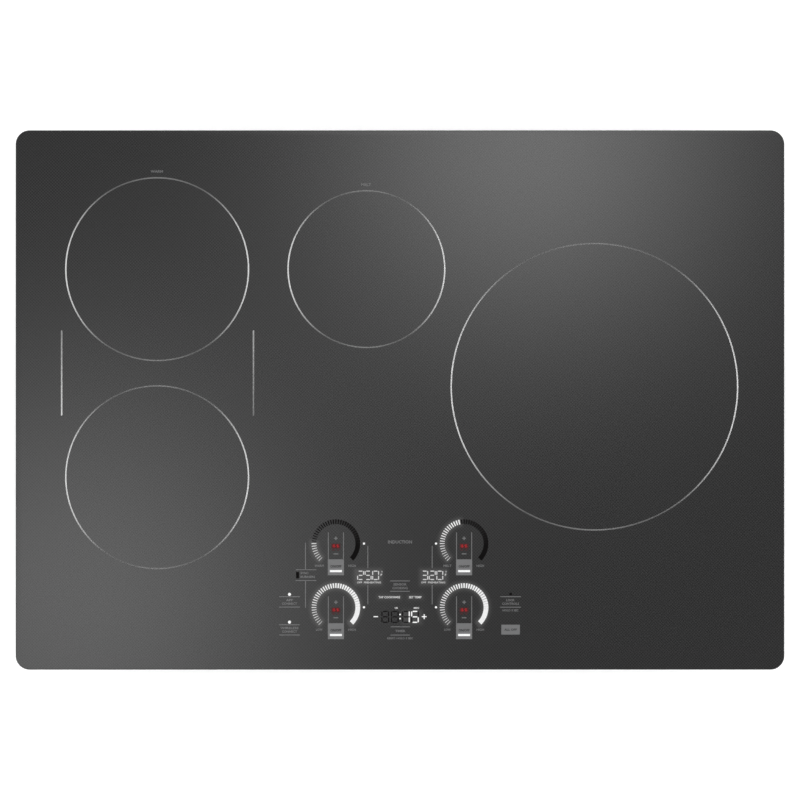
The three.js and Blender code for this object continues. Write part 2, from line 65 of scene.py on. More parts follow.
# A dial's marks run clockwise from its lower left. Each dial has its middle and its count of lit marks.
DIALS = {"upper_left": (-63, -141.1, 8), "upper_right": (63, -141.1, 20),
         "lower_left": (-63, -203.9, 43), "lower_right": (63, -203.9, 43)}
DIAL_MARKS = 43
DIAL_START = math.radians(225)
DIAL_PITCH = math.radians(270 / 42)
DIAL_END = math.radians(-44.6)  # the last mark of a dial is cut off here
DIAL_INNER, DIAL_OUTER = 19.2, 23.85

LENS, SENSOR = 200, 36
FRAME_WIDTH = 0.7862  # metres across the picture, level with the glass
CAMERA_HEIGHT = FRAME_WIDTH / 2 / (SENSOR / 2 / LENS)  # metres above the glass


# ---------------------------------------------------------------- mesh building

def around(steps):
    """Equal angles once round."""
    return [math.tau * i / steps for i in range(steps)]


def circle(radius, steps, z=0.0, start=0.0):
    return [(radius * math.cos(start + a), radius * math.sin(start + a), z) for a in around(steps)]


def polar_loop(outline, factor, z):
    """Points of an outline that is given as (radius, angle), with every radius times a factor."""
    return [(r * factor * math.cos(a), r * factor * math.sin(a), z) for r, a in outline]


def rounded_loop(width, depth, radius, z, inset=0.0, steps=8):
    """Points of a rounded rectangle, anticlockwise."""
    w, d, r = width / 2 - inset, depth / 2 - inset, max(radius - inset, 0.3)
    points = []
    for i, (cx, cy) in enumerate([(w - r, d - r), (r - w, d - r), (r - w, r - d), (w - r, r - d)]):
        for k in range(steps + 1):
            a = math.pi / 2 * (i + k / steps)
            points.append((cx + r * math.cos(a), cy + r * math.sin(a), z))
    return points


class Shape:
    """A mesh under construction, measured from its own x and y, with one finish per face."""

    def __init__(self, x=0.0, y=0.0):
        self.x, self.y = x, y
        self.points, self.faces, self.finishes, self.soft = [], [], [], []

    def add(self, points, faces, finish, soft=False, at=(0, 0), turn=0.0):
        start = len(self.points)
        left, front = self.x + at[0], self.y + at[1]
        c, s = math.cos(turn), math.sin(turn)
        self.points += [(left + c * x - s * y, front + s * x + c * y, z) for x, y, z in points]
        self.faces += [[start + i for i in face] for face in faces]
        self.finishes += [finish] * len(faces)
        self.soft += [soft] * len(faces)
        return self

    def loft(self, rings, finish, soft=True, caps=True, closed=False, **place):
        """Joins equal rings of points with faces. closed joins the last ring to the first."""
        n, count = len(rings[0]), len(rings)
        points = [p for ring in rings for p in ring]
        faces = []
        for i in range(count if closed else count - 1):
            a, b = i * n, ((i + 1) % count) * n
            faces += [[a + j, a + (j + 1) % n, b + (j + 1) % n, b + j] for j in range(n)]
        self.add(points, faces, finish, soft, **place)
        if caps and not closed:
            self.add(rings[0], [list(range(n))[::-1]], finish, False, **place)
            self.add(rings[-1], [list(range(n))], finish, False, **place)
        return self

    def block(self, width, depth, z, finish, edge=0.0, at=(0, 0)):
        """A block round a place, from z[0] to z[1], with its upright and level edges eased by edge."""
        low, high = z
        if edge:
            e = min(edge, width / 2.2, depth / 2.2, (high - low) / 2.2)
            levels = [(e, low), (0, low + e), (0, high - e), (e * 0.3, high - e * 0.3), (e, high)]
            rings = [rounded_loop(width, depth, e, h, inset, 2) for inset, h in levels]
        else:
            w, d = width / 2, depth / 2
            rings = [[(w, d, h), (-w, d, h), (-w, -d, h), (w, -d, h)] for h in z]
        return self.loft(rings, finish, soft=bool(edge), at=at)

    def box(self, x, y, z, finish, edge=0.0):
        """A block from x[0] to x[1], y[0] to y[1] and z[0] to z[1]."""
        middle = ((x[0] + x[1]) / 2, (y[0] + y[1]) / 2)
        return self.block(x[1] - x[0], y[1] - y[0], z, finish, edge, middle)

    def turned(self, profile, finish, steps=32, **place):
        """Turns a profile of (radius, height) points about Z. It starts and ends on the axis."""
        return self.loft([circle(max(r, 1e-4), steps, z) for r, z in profile], finish, caps=False, **place)

    def ring(self, profile, finish, steps=64, **place):
        """Turns a closed profile of (radius, height) points about Z."""
        return self.loft([circle(r, steps, z) for r, z in profile], finish, closed=True, **place)

    def prism(self, outline, z0, z1, finish, **place):
        return self.loft([[(x, y, z) for x, y in outline] for z in (z0, z1)], finish, soft=False, **place)

    def mark(self, outline, finish, high=0.06, **place):
        """A thin printed or lit mark on the glass."""
        return self.prism(outline, PRINT, PRINT + high, finish, **place)

    def tube(self, path, radius, finish, sides=8):
        """A round tube along a path, with its ends capped."""
        path = [Vector(p) for p in path]
        rings, normal = [], None
        for i, point in enumerate(path):
            before, after = path[max(i - 1, 0)], path[min(i + 1, len(path) - 1)]
            along = (after - before).normalized()
            if normal is None:
                normal = along.orthogonal().normalized()
            normal = (normal - along * normal.dot(along)).normalized()
            side = along.cross(normal)
            ways = [math.cos(a) * normal + math.sin(a) * side for a in around(sides)]
            rings.append([tuple(point + radius * way) for way in ways])
        return self.loft(rings, finish)

    def text(self, words, x, y, width, height, finish, z=PRINT, weight=0.028):
        """Words centred on x, y and fitted to a width and a height."""
        thick = 0.05
        curve = bpy.data.curves.new("words", "FONT")
        curve.body, curve.extrude, curve.resolution_u, curve.offset = words, thick, 2, weight
        carrier = bpy.data.objects.new("words", curve)
        bpy.context.scene.collection.objects.link(carrier)
        mesh = bpy.data.meshes.new_from_object(carrier.evaluated_get(bpy.context.evaluated_depsgraph_get()))
        xs, ys = [v.co.x for v in mesh.vertices], [v.co.y for v in mesh.vertices]
        fit = lambda value, values, size: ((value - min(values)) / (max(values) - min(values)) - 0.5) * size
        points = [(x + fit(v.co.x, xs, width), y + fit(v.co.y, ys, height), z + (thick if v.co.z > 0 else 0))
                  for v in mesh.vertices]
        self.add(points, [list(face.vertices) for face in mesh.polygons], finish)
        bpy.data.objects.remove(carrier)
        bpy.data.meshes.remove(mesh)
        bpy.data.curves.remove(curve)
        return self

    def onto_wall(self, wall, out, along=0.0):
        """Moves what was built up the Z axis from z 0, with its own Y upright, onto a wall of the box.

        A side wall is named "side", the front and rear walls "end". out is the way that the wall faces."""
        half = BOX_HALF[wall]
        if wall == "side":
            self.points = [(out * (half + z), along + out * x, y) for x, y, z in self.points]
        else:
            self.points = [(along - out * x, out * (half + z), y) for x, y, z in self.points]
        return self

    def join(self, other, finish):
        return self.add(other.points, other.faces, finish, True)

    def make(self, name, body="chassis", slot=None, replaces=None, painted_sheen_at=None):
        """Makes the piece. Where a function of place is given, each face gets a tone from the place of its
        middle, for its material: painted highlight and shade.
        """
        mesh = bpy.data.meshes.new(name)
        mesh.from_pydata([tuple(c * MM for c in p) for p in self.points], [], self.faces)
        if painted_sheen_at:
            # The tone is painted highlight and shade, which the silver print multiplies into its colour.
            painted_sheen_tones = mesh.attributes.new("tone", "FLOAT", "FACE")
            for face in mesh.polygons:
                painted_sheen_tones.data[face.index].value = painted_sheen_at(face.center.x / MM, face.center.y / MM)
        used = list(dict.fromkeys(self.finishes))
        for finish in used:
            mesh.materials.append(material(finish))
        for face, finish, soft in zip(mesh.polygons, self.finishes, self.soft):
            face.material_index = used.index(finish)
            face.use_smooth = soft
        bm = bmesh.new()
        bm.from_mesh(mesh)
        bmesh.ops.remove_doubles(bm, verts=bm.verts, dist=2e-6)
        bmesh.ops.dissolve_degenerate(bm, edges=bm.edges, dist=1e-6)
        bmesh.ops.recalc_face_normals(bm, faces=bm.faces)
        bm.to_mesh(mesh)
        bm.free()
        mesh.set_sharp_from_angle(angle=SHARP)
        piece = bpy.data.objects.new(name, mesh)
        bpy.context.scene.collection.objects.link(piece)
        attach(piece, body)
        if replaces:
            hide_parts(replaces)
        return piece


def ease_edges(piece, width):
    """Rounds a piece's sharp edges by a width in millimetres."""
    bevel = piece.modifiers.new("eased", "BEVEL")
    bevel.width = width * MM
    bevel.segments = 2
    bevel.limit_method = "ANGLE"
    bevel.angle_limit = SHARP
    bevel.harden_normals = True
    bevel.use_clamp_overlap = True


# ---------------------------------------------------------------- material nodes

class Nodes:
    """Adds nodes to a tree. An input is a plain value or another node's output."""

    def __init__(self, tree):
        self.tree = tree
        self.shader = tree.nodes.get("Principled BSDF")

    def feed(self, socket, value):
        if isinstance(value, bpy.types.NodeSocket):
            self.tree.links.new(value, socket)
        else:
            socket.default_value = value

    def look(self, inputs):
        """Sets the shader's inputs."""
        for name, value in inputs.items():
            self.feed(self.shader.inputs[name], value)

    def add(self, kind, inputs=None, **settings):
        node = self.tree.nodes.new(f"ShaderNode{kind}")
        for key, value in settings.items():
            setattr(node, key, value)
        for key, value in (inputs or {}).items():
            self.feed(node.inputs[key], value)
        return node

    def math(self, operation, a, b=0.0):
        return self.add("Math", {0: a, 1: b}, operation=operation).outputs[0]

    def times(self, a, b):
        return self.math("MULTIPLY", a, b)

    def plus(self, a, b):
        return self.math("ADD", a, b)

    def minus(self, a, b):
        return self.math("SUBTRACT", a, b)

    def where(self, system="Object"):
        """Coordinates in metres, in the piece's own frame."""
        return self.add("TexCoord").outputs[system]

    def stretched(self, scale=(1, 1, 1)):
        return self.add("Mapping", {"Vector": self.where(), "Scale": scale}).outputs["Vector"]

    def split(self, vector):
        return self.add("SeparateXYZ", {0: vector}).outputs

    def noise(self, vector, scale, detail=3.0):
        fields = {"Vector": vector, "Scale": scale, "Detail": detail, "Roughness": 0.55}
        return self.add("TexNoise", fields).outputs["Fac"]

    def remap(self, value, low, high, to_low, to_high):
        fields = {"Value": value, "From Min": low, "From Max": high, "To Min": to_low, "To Max": to_high}
        return self.add("MapRange", fields).outputs["Result"]

    def blend(self, factor, a, b):
        node = self.add("Mix", {"Factor": factor}, data_type="RGBA")
        for key, colour in ((6, a), (7, b)):
            self.feed(node.inputs[key], colour if isinstance(colour, bpy.types.NodeSocket) else (*colour, 1))
        return node.outputs[2]

    def bump(self, height, strength, distance):
        fields = {"Height": height, "Strength": strength, "Distance": distance * MM}
        return self.add("Bump", fields).outputs[0]

    def grain(self, pattern, scale, stretch):
        place = self.stretched(stretch)
        if pattern == "cells":
            return self.add("TexVoronoi", {"Vector": place, "Scale": scale}).outputs["Distance"]
        if pattern == "waves":
            fields = {"Vector": place, "Scale": scale, "Distortion": 1.2, "Detail": 2.0}
            return self.add("TexWave", fields, bands_direction="DIAGONAL").outputs["Fac"]
        return self.noise(place, scale)

    def tone(self):
        """Each face's own tone, as Shape.make stores it: the painted highlight and shade of the silver
        print.
        """
        return self.add("Attribute", attribute_name="tone").outputs["Fac"]


# ---------------------------------------------------------------- materials

# name: base colour, roughness, metallic, colour spread, grain per metre, bump strength, bump depth, and the
# grain's pattern and stretch where they aren't plain noise
RECIPES = {
    "glass_edge": ((0.022, 0.022, 0.023), 0.2, 0.0, 0.15, 900, 0.05, 0.05),
    "glass_back": ((0.012, 0.012, 0.012), 0.55, 0.0, 0.3, 1500, 0.2, 0.05),
    "grey_print": ((0.117, 0.117, 0.119), 0.45, 0.0, 0.1, 2500, 0.1, 0.02),
    "block_print": ((0.127, 0.128, 0.13), 0.45, 0.0, 0.06, 2500, 0.1, 0.02),
    "dark_print": ((0.035, 0.035, 0.035), 0.5, 0.0, 0.1, 2500, 0.1, 0.02),
    "lamp_off": ((0.006, 0.0055, 0.0055), 0.9, 0.0, 0.3, 3000, 0.1, 0.02),
    "foam": ((0.018, 0.018, 0.019), 0.95, 0.0, 0.35, 1400, 0.8, 0.35, "cells"),
    "silicone": ((0.03, 0.03, 0.03), 0.45, 0.0, 0.2, 300, 0.3, 0.2),
    "frame_steel": ((0.06, 0.06, 0.062), 0.42, 0.6, 0.2, 2600, 0.3, 0.04),
    "deck_aluminium": ((0.7, 0.71, 0.72), 0.32, 1.0, 0.1, 1500, 0.25, 0.03, "noise", (1, 0.03, 1)),
    "carrier_aluminium": ((0.68, 0.69, 0.7), 0.36, 1.0, 0.1, 1800, 0.25, 0.03, "noise", (0.05, 1, 1)),
    "fin_aluminium": ((0.62, 0.63, 0.65), 0.4, 1.0, 0.12, 1600, 0.35, 0.04, "noise", (1, 0.02, 1)),
    "ferrite": ((0.035, 0.034, 0.036), 0.62, 0.1, 0.5, 1800, 0.6, 0.15),
    "litz": ((0.58, 0.25, 0.1), 0.33, 0.9, 0.35, 900, 0.9, 0.25, "waves"),
    "enamel_wire": ((0.5, 0.17, 0.05), 0.25, 0.9, 0.25, 900, 0.2, 0.05),
    "mica": ((0.56, 0.48, 0.35), 0.5, 0.0, 0.4, 260, 0.4, 0.1, "cells", (1, 1, 0.2)),
    "bright_wire": ((0.5, 0.5, 0.52), 0.28, 1.0, 0.15, 1200, 0.2, 0.03, "noise", (1, 1, 0.2)),
    "probe_steel": ((0.6, 0.6, 0.6), 0.3, 1.0, 0.12, 1500, 0.2, 0.03, "noise", (1, 1, 0.1)),
    "black_plastic": ((0.017, 0.017, 0.019), 0.5, 0.0, 0.25, 2200, 0.35, 0.06, "cells"),
    "nylon": ((0.68, 0.66, 0.6), 0.42, 0.0, 0.08, 800, 0.15, 0.05),
    "diffuser": ((0.74, 0.75, 0.75), 0.28, 0.0, 0.05, 500, 0.1, 0.05),
    "zinc": ((0.6, 0.61, 0.63), 0.3, 1.0, 0.2, 700, 0.25, 0.05),
    "cast_zinc": ((0.5, 0.51, 0.53), 0.42, 0.9, 0.25, 900, 0.5, 0.12),
    "brass": ((0.72, 0.5, 0.2), 0.3, 1.0, 0.15, 900, 0.2, 0.04),
    "can": ((0.66, 0.67, 0.68), 0.28, 1.0, 0.08, 900, 0.15, 0.03, "noise", (1, 1, 0.1)),
    "can_sleeve": ((0.012, 0.016, 0.03), 0.32, 0.0, 0.2, 500, 0.1, 0.03),
    "film_yellow": ((0.62, 0.4, 0.05), 0.38, 0.0, 0.1, 700, 0.2, 0.06),
    "film_grey": ((0.26, 0.27, 0.28), 0.42, 0.0, 0.1, 700, 0.2, 0.06),
    "relay": ((0.02, 0.05, 0.12), 0.38, 0.0, 0.15, 700, 0.15, 0.05),
    "chip": ((0.012, 0.012, 0.013), 0.42, 0.0, 0.2, 3000, 0.3, 0.04),
    "solder": ((0.6, 0.6, 0.58), 0.3, 1.0, 0.2, 1500, 0.4, 0.08),
    "core_green": ((0.03, 0.16, 0.09), 0.4, 0.0, 0.2, 600, 0.3, 0.08),
    "lead_black": ((0.015, 0.015, 0.015), 0.42, 0.0, 0.2, 700, 0.2, 0.05),
    "lead_red": ((0.4, 0.02, 0.015), 0.4, 0.0, 0.15, 700, 0.2, 0.05),
    "lead_green": ((0.02, 0.2, 0.05), 0.4, 0.0, 0.15, 700, 0.2, 0.05),
    "motor_steel": ((0.42, 0.42, 0.44), 0.36, 1.0, 0.15, 1200, 0.2, 0.04),
    "foil_label": ((0.62, 0.62, 0.63), 0.45, 0.4, 0.06, 600, 0.15, 0.04),
}
WHITE, RED, DULL_RED = (1.0, 1.0, 1.0), (1.0, 0.01, 0.02), (1.0, 0.02, 0.04)
# The dim red entry is no lamp of its own: it is a painted glow round the red digits, where their light
# spreads in the glass.
LAMPS = {"lamp_white": (WHITE, 0.95), "lamp_scale": (WHITE, 0.83), "lamp_soft": (WHITE, 0.62),
         "lamp_dim": (WHITE, 0.3), "lamp_red": (RED, 0.5), "red_digit_glow": (DULL_RED, 0.055)}
MATT_PRINTS = ("lamp_off", "dark_print")
_materials = {}


def material(name):
    if name not in _materials:
        made = bpy.data.materials.new(name)
        made.use_nodes = True
        nodes = Nodes(made.node_tree)
        special = {"ceramic_glass": ceramic_glass, "galvanised": galvanised, "circuit": circuit,
                   "silver_print_painted_sheen": silver_print_painted_sheen}
        if name in special:
            special[name](nodes)
        elif name in LAMPS:
            lamp(nodes, *LAMPS[name])
        else:
            recipe(nodes, *RECIPES[name])
        if name in LAMPS or name in MATT_PRINTS:
            nodes.look({"Specular IOR Level": 0.0})
        _materials[name] = made
    return _materials[name]


def recipe(n, colour, rough, metal, spread, scale, strength, depth, pattern="noise", stretch=(1, 1, 1)):
    """A plain finish: blotchy colour and roughness over a fine grain."""
    height = n.grain(pattern, scale, stretch)
    blotch = n.noise(n.stretched(), 45, 4)
    mixed = n.remap(n.plus(n.times(height, 0.5), n.times(blotch, 0.5)), 0.25, 0.75, 0, 1)
    dark = tuple(c * (1 - spread) for c in colour)
    light = tuple(min(c * (1 + spread), 1) for c in colour)
    n.look({"Base Color": n.blend(mixed, dark, light), "Metallic": metal,
            "Roughness": n.remap(blotch, 0.3, 0.7, rough * 0.85, min(rough * 1.15, 1)),
            "Normal": n.bump(height, strength, depth)})


def lamp(n, colour, strength):
    """A lit mark under the glass, very slightly uneven."""
    shade = n.remap(n.noise(n.stretched(), 350, 2), 0.3, 0.7, 0.95, 1.05)
    n.look({"Base Color": (0.02, 0.02, 0.02, 1), "Roughness": 0.4, "Emission Color": (*colour, 1),
            "Emission Strength": n.times(shade, strength)})


def silver_print_painted_sheen(n):
    """Silver ink with a painted reflection: it shades from bright to dark round a ring, by each face's own
    tone.
    """
    shade = n.remap(n.noise(n.stretched(), 700), 0.3, 0.7, 0.93, 1.07)
    n.look({"Base Color": n.blend(n.times(shade, n.tone()), (0, 0, 0), (1, 1, 1)), "Metallic": 0.25,
            "Roughness": n.remap(shade, 0.93, 1.07, 0.5, 0.42), "Specular IOR Level": 0.2})


# Where the readouts' light spreads in the glass: the middle, the half size and the strength of each.
READOUT_HALOS = [(-31.4, -174.0, 12, 6.5, 0.036), (33.0, -174.0, 12, 6.5, 0.036),
                 (-10.5, -193.8, 10.5, 0.8, 0.022), (15, -193.8, 6.2, 0.8, 0.022),
                 (12, -213.4, 8, 5.5, 0.026)]
HALO_REACH, DIAL_HALO = 5.6, 0.05


def halo(n, distance, strength):
    """A glow that fades with the square of what is left of its reach."""
    left = n.remap(distance, 0, HALO_REACH * MM, 1, 0)
    return n.times(n.times(left, left), strength)


def length(n, a, b):
    return n.math("SQRT", n.plus(n.times(a, a), n.times(b, b)))


def readout_halo(n, x, y, middle_x, middle_y, half_x, half_y, strength):
    away = []
    for axis, centre, half in ((x, middle_x, half_x), (y, middle_y, half_y)):
        offset = n.math("ABSOLUTE", n.minus(axis, centre * MM))
        away.append(n.math("MAXIMUM", n.minus(offset, half * MM), 0))
    return halo(n, length(n, *away), strength)


def dial_halo(n, x, y, middle_x, middle_y, lit):
    """A glow on both sides of a dial's lit marks, which fades in and out at their ends."""
    dx, dy = n.minus(x, middle_x * MM), n.minus(y, middle_y * MM)
    band_middle, band_half = 21.4 * MM, 2.2 * MM
    offset = n.math("ABSOLUTE", n.minus(length(n, dx, dy), band_middle))
    glow = halo(n, n.math("MAXIMUM", n.minus(offset, band_half), 0), DIAL_HALO)
    lead, fade = 0.2, 0.18
    turn = n.minus(DIAL_START + lead, n.math("ARCTAN2", dy, dx))
    past = n.math("MODULO", n.plus(turn, math.tau), math.tau)
    end = lead + (lit - 0.5) * DIAL_PITCH
    return n.times(glow, n.times(n.remap(past, 0.02, lead, 0, 1), n.remap(past, end, end + fade, 1, 0)))


def ceramic_glass(n):
    """Dark grey glass with a fine dot pattern, and a faint halo round the lit readouts."""
    x, y, _ = n.split(n.where())
    dot_pitch = 3.07 * MM
    waves = [n.math("SINE", n.times(axis, math.tau / dot_pitch)) for axis in (x, y)]
    dots = n.remap(n.times(*waves), -1, 1, 0, 1)
    smear = n.noise(n.stretched((1, 0.4, 1)), 9, 4)
    glows = [readout_halo(n, x, y, *entry) for entry in READOUT_HALOS]
    glows += [dial_halo(n, x, y, *entry) for entry in DIALS.values()]
    total = glows[0]
    for glow in glows[1:]:
        total = n.math("MAXIMUM", total, glow)
    n.look({"Base Color": n.blend(dots, (0.011, 0.011, 0.0111), (0.0275, 0.0275, 0.0278)), "IOR": 1.5,
            "Roughness": n.remap(smear, 0.3, 0.75, 0.1, 0.16), "Emission Strength": total,
            "Emission Color": (1, 0.98, 0.97, 1)})


def galvanised(n):
    """Zinc-coated sheet: large pale crystals, each with its own tone and gloss, over rolling marks."""
    place = n.stretched()
    warp = n.add("TexNoise", {"Vector": place, "Scale": 160.0, "Detail": 2.0}).outputs["Color"]
    bend = {0: warp, 1: (0.004, 0.004, 0.004), 2: place}
    bent = n.add("VectorMath", bend, operation="MULTIPLY_ADD").outputs[0]
    crystals = n.add("TexVoronoi", {"Vector": bent, "Scale": 120.0, "Randomness": 1.0})
    tone = n.add("SeparateColor", {0: crystals.outputs["Color"]}).outputs[0]
    mixed = n.plus(n.times(tone, 0.3), n.times(n.noise(place, 9, 5), 0.7))
    fine = n.noise(n.stretched((1, 1, 0.1)), 1500, 2)
    height = n.plus(n.times(tone, 0.6), n.times(fine, 0.4))
    n.look({"Base Color": n.blend(mixed, (0.28, 0.285, 0.295), (0.47, 0.475, 0.485)), "Metallic": 0.85,
            "Roughness": n.remap(mixed, 0.2, 0.8, 0.52, 0.36), "Normal": n.bump(height, 0.25, 0.06)})


def circuit(n):
    """Green solder mask over copper tracks, with tinned pads."""
    field = {"Vector": n.stretched((1, 0.35, 1)), "Scale": 150.0}
    tracks = n.add("TexVoronoi", field, distance="MANHATTAN", feature="F1").outputs["Distance"]
    lines = n.remap(tracks, 0.42, 0.5, 0, 1)
    pads = n.add("TexVoronoi", {"Vector": n.stretched(), "Scale": 260.0}).outputs["Distance"]
    dots = n.remap(pads, 0.16, 0.12, 0, 1)
    masked = n.blend(lines, (0.012, 0.085, 0.04), (0.03, 0.17, 0.075))
    n.look({"Base Color": n.blend(dots, masked, (0.55, 0.55, 0.52)),
            "Roughness": n.remap(dots, 0, 1, 0.34, 0.28),
            "Normal": n.bump(n.plus(lines, dots), 0.5, 0.05)})


# ---------------------------------------------------------------- glass and zones

def glass_plate():
    """The glass, with its rim a little rounded above and below."""
    under = [(0.9, 100.75), (0.35, 100.82), (0.08, 101.05), (0, 101.4)]
    over = [(0, 103.75), (0.04, 104.08), (0.15, 104.36), (0.34, 104.58), (0.6, 104.71), (0.9, GLASS_TOP)]
    rings = [rounded_loop(GLASS_WIDTH, GLASS_DEPTH, GLASS_CORNER, z, inset, 14) for inset, z in under + over]
    shape = Shape().loft(rings, "glass_edge", caps=False)
    shape.add(rings[-1], [list(range(len(rings[-1])))], "ceramic_glass")
    shape.add(rings[0], [list(range(len(rings[0])))[::-1]], "glass_back")
    shape.make("glass_plate", slot="ceramic_glass", replaces="glass_top")


def band_profile(centre, width, steps=6):
    """A flat-bottomed lens, as (radius, height) points."""
    height = 0.24
    rise = []
    for k in range(steps + 1):
        across = k / steps
        rise.append((centre + width * (across - 0.5), PRINT + height * (1 - (2 * across - 1) ** 2)))
    return [(centre + width / 2, PRINT - 0.03), (centre - width / 2, PRINT - 0.03)] + rise


def ring_painted_sheen(x, y):
    """Painted highlight and shade round a ring, in place of the reflections in the silver ink: bright at the
    sides, dark near the top and the bottom.
    """
    a = math.atan2(y, x)
    return 0.282 + 0.222 * math.cos(2 * a) + 0.074 * math.cos(4 * a) - 0.025 * math.cos(6 * a)


def zone_marks():
    for name, (x, y, radius) in RINGS.items():
        ring = Shape(x, y).ring(band_profile(radius, 1.3), "silver_print_painted_sheen", 160 if radius > 100 else 128)
        # Each face of the ring gets its painted highlight and shade from its place round the ring.
        tone = lambda px, py: ring_painted_sheen(px - x, py - y)
        ring.make(f"zone_ring_{name}", slot="ceramic_glass", painted_sheen_at=tone)
    low, high = -15.3, 68.4
    # The bridge lines get painted highlight and shade too, brighter at one end and darker at the other.
    for side, x, painted_sheen_low, painted_sheen_high in (("left", -332.5, 0.51, 0.22), ("right", -144.0, 0.14, 0.3)):
        section, pieces = band_profile(0, 1.4), 12
        levels = [low + (high - low) * k / pieces for k in range(pieces + 1)]
        rings = [[(x + r, y, z) for r, z in section] for y in levels]
        tone = lambda px, py: painted_sheen_low + (painted_sheen_high - painted_sheen_low) * (py - low) / (high - low)
        Shape().loft(rings, "silver_print_painted_sheen").make(f"bridge_line_{side}", slot="ceramic_glass", painted_sheen_at=tone)
    words = Shape()
    words.text("WARM", -239, 224.6, 12.2, 2.5, "grey_print")
    words.text("MELT", -33.2, 211.6, 9.6, 2.5, "grey_print")
    words.make("zone_words", slot="ceramic_glass")


# ---------------------------------------------------------------- control markings

SEGMENTS = {"": "", "0": "abcdef", "1": "bc", "2": "abged", "3": "abgcd", "5": "afgcd", "6": "afgedc"}


def bar(shape, x0, y0, x1, y1, thick, finish):
    """A bar with blunt points between two places, along X or Y."""
    half, t, flat = abs(x1 - x0 + y1 - y0) / 2, thick / 2, thick * 0.18
    neck = half - t + flat
    outline = [(half, -flat), (half, flat), (neck, t), (-neck, t),
               (-half, flat), (-half, -flat), (-neck, -t), (neck, -t)]
    turn = 0.0 if abs(x1 - x0) > abs(y1 - y0) else math.pi / 2
    shape.mark(outline, finish, at=((x0 + x1) / 2, (y0 + y1) / 2), turn=turn)


def digit(shape, value, x, y, width, height, thick, lit, unlit=None, gap=0.0):
    """A seven-segment digit centred on x, y. gap takes from its level bars and adds to its upright ones."""
    w, h, g = width / 2 - thick / 2, height / 2 - thick / 2, 0.1 + 0.34 * thick
    flat, tall = w - g - gap, h - g + gap
    ends = {"a": (-flat, h, flat, h), "g": (-flat, 0, flat, 0), "d": (-flat, -h, flat, -h),
            "f": (-w, g, -w, tall), "b": (w, g, w, tall), "e": (-w, -tall, -w, -g), "c": (w, -tall, w, -g)}
    for key, (x0, y0, x1, y1) in ends.items():
        finish = lit if key in SEGMENTS[value] else unlit
        if finish:
            bar(shape, x + x0, y + y0, x + x1, y + y1, thick, finish)


def line(shape, x0, x1, y0, y1, finish="grey_print", high=0.06):
    shape.box((x0, x1), (y0, y1), (PRINT, PRINT + high), finish)


def cross(shape, x, y, size, thick, finish, upright=True):
    """A plus sign, or a minus sign where it isn't upright."""
    a, t = size / 2, thick / 2
    if upright:
        outline = [(t, t), (t, a), (-t, a), (-t, t), (-a, t), (-a, -t),
                   (-t, -t), (-t, -a), (t, -a), (t, -t), (a, -t), (a, t)]
    else:
        outline = [(a, t), (-a, t), (-a, -t), (a, -t)]
    shape.mark(outline, finish, at=(x, y))


def disc(shape, x, y, radius, finish):
    shape.mark([p[:2] for p in circle(radius, 20)], finish, 0.07, at=(x, y))


def dial_band(name, x, y, lit):
    """A dial's band of marks, which widen until they meet."""
    ticks, rest = Shape(x, y), Shape(x, y)
    for k in range(DIAL_MARKS):
        middle = DIAL_START - k * DIAL_PITCH
        on = k < lit
        thinnest, curve = (0.15, 1.2) if on else (0.32, 1.5)
        half = DIAL_PITCH / 2 * min(1.0, thinnest + (1 - thinnest) * (k / 36) ** curve)
        low, high = max(middle - half, DIAL_END), middle + half
        angles = [low, (low + high) / 2, high]
        outline = [(DIAL_OUTER * math.cos(a), DIAL_OUTER * math.sin(a)) for a in angles]
        outline += [(DIAL_INNER * math.cos(a), DIAL_INNER * math.sin(a)) for a in reversed(angles)]
        if on:
            ticks.mark(outline, "lamp_scale")
        else:
            rest.mark(outline, "lamp_off")
    ticks.make(f"dial_lit_{name}", slot="diffuser")
    if lit < DIAL_MARKS:
        rest.make(f"dial_unlit_{name}", slot="ceramic_glass")


def dial(name, x, y, lit, left_word, left_width):
    """A power dial: its band of marks, its readout, and the on/off key below."""
    dial_band(name, x, y, lit)
    marks, lamps = Shape(x, y), Shape(x, y)
    for side in (-1, 1):
        line(marks, side * 7.45 - 0.4, side * 7.45 + 0.4, -15.4, 11.0)
    line(marks, -7.9, 7.9, -31.1, -15.5, "block_print", 0.04)
    cross(marks, 0, 5.2, 3.5, 1.0, "grey_print")
    cross(marks, 0, -10.1, 4.6, 1.0, "grey_print", upright=False)
    marks.text(left_word, -16.4, -21.8, left_width, 2.3, "grey_print")
    marks.text("HIGH", 15.9, -21.8, 7.4, 2.3, "grey_print")
    marks.text("ON/OFF", 0, -22.4, 10.8, 2.5, "dark_print", PRINT + 0.05, weight=0.035)
    marks.make(f"dial_marks_{name}", slot="ceramic_glass")
    lamps.box((-5.9, 5.9), (-28.1, -26.0), (PRINT + 0.045, PRINT + 0.09), "lamp_white")
    # A painted dim red glow round the digits, where their light spreads.
    line(lamps, -4.3, 4.3, -4.9, -0.1, "red_digit_glow", 0.02)
    for i, value in enumerate("65"):
        digit(lamps, value, i * 3.55 - 1.8, -2.35, 3.1, 2.7, 0.66, "lamp_red", gap=0.15)
    # Two small spots of painted red glow below the digits.
    line(lamps, -3.8, -0.9, -6.8, -5.8, "red_digit_glow")
    line(lamps, 1.1, 3.2, -6.8, -5.8, "red_digit_glow")
    lamps.make(f"dial_lamps_{name}", slot="diffuser")


def touch_key(shape, x, top, bottom, words, sizes, rows, width=20.4):
    """Two rules with words between them."""
    for y in (top, bottom):
        line(shape, x - width / 2, x + width / 2, y - 0.4, y + 0.4)
    for word, size, y in zip(words, sizes, rows):
        shape.text(word, x, y, size, 2.3, "grey_print")


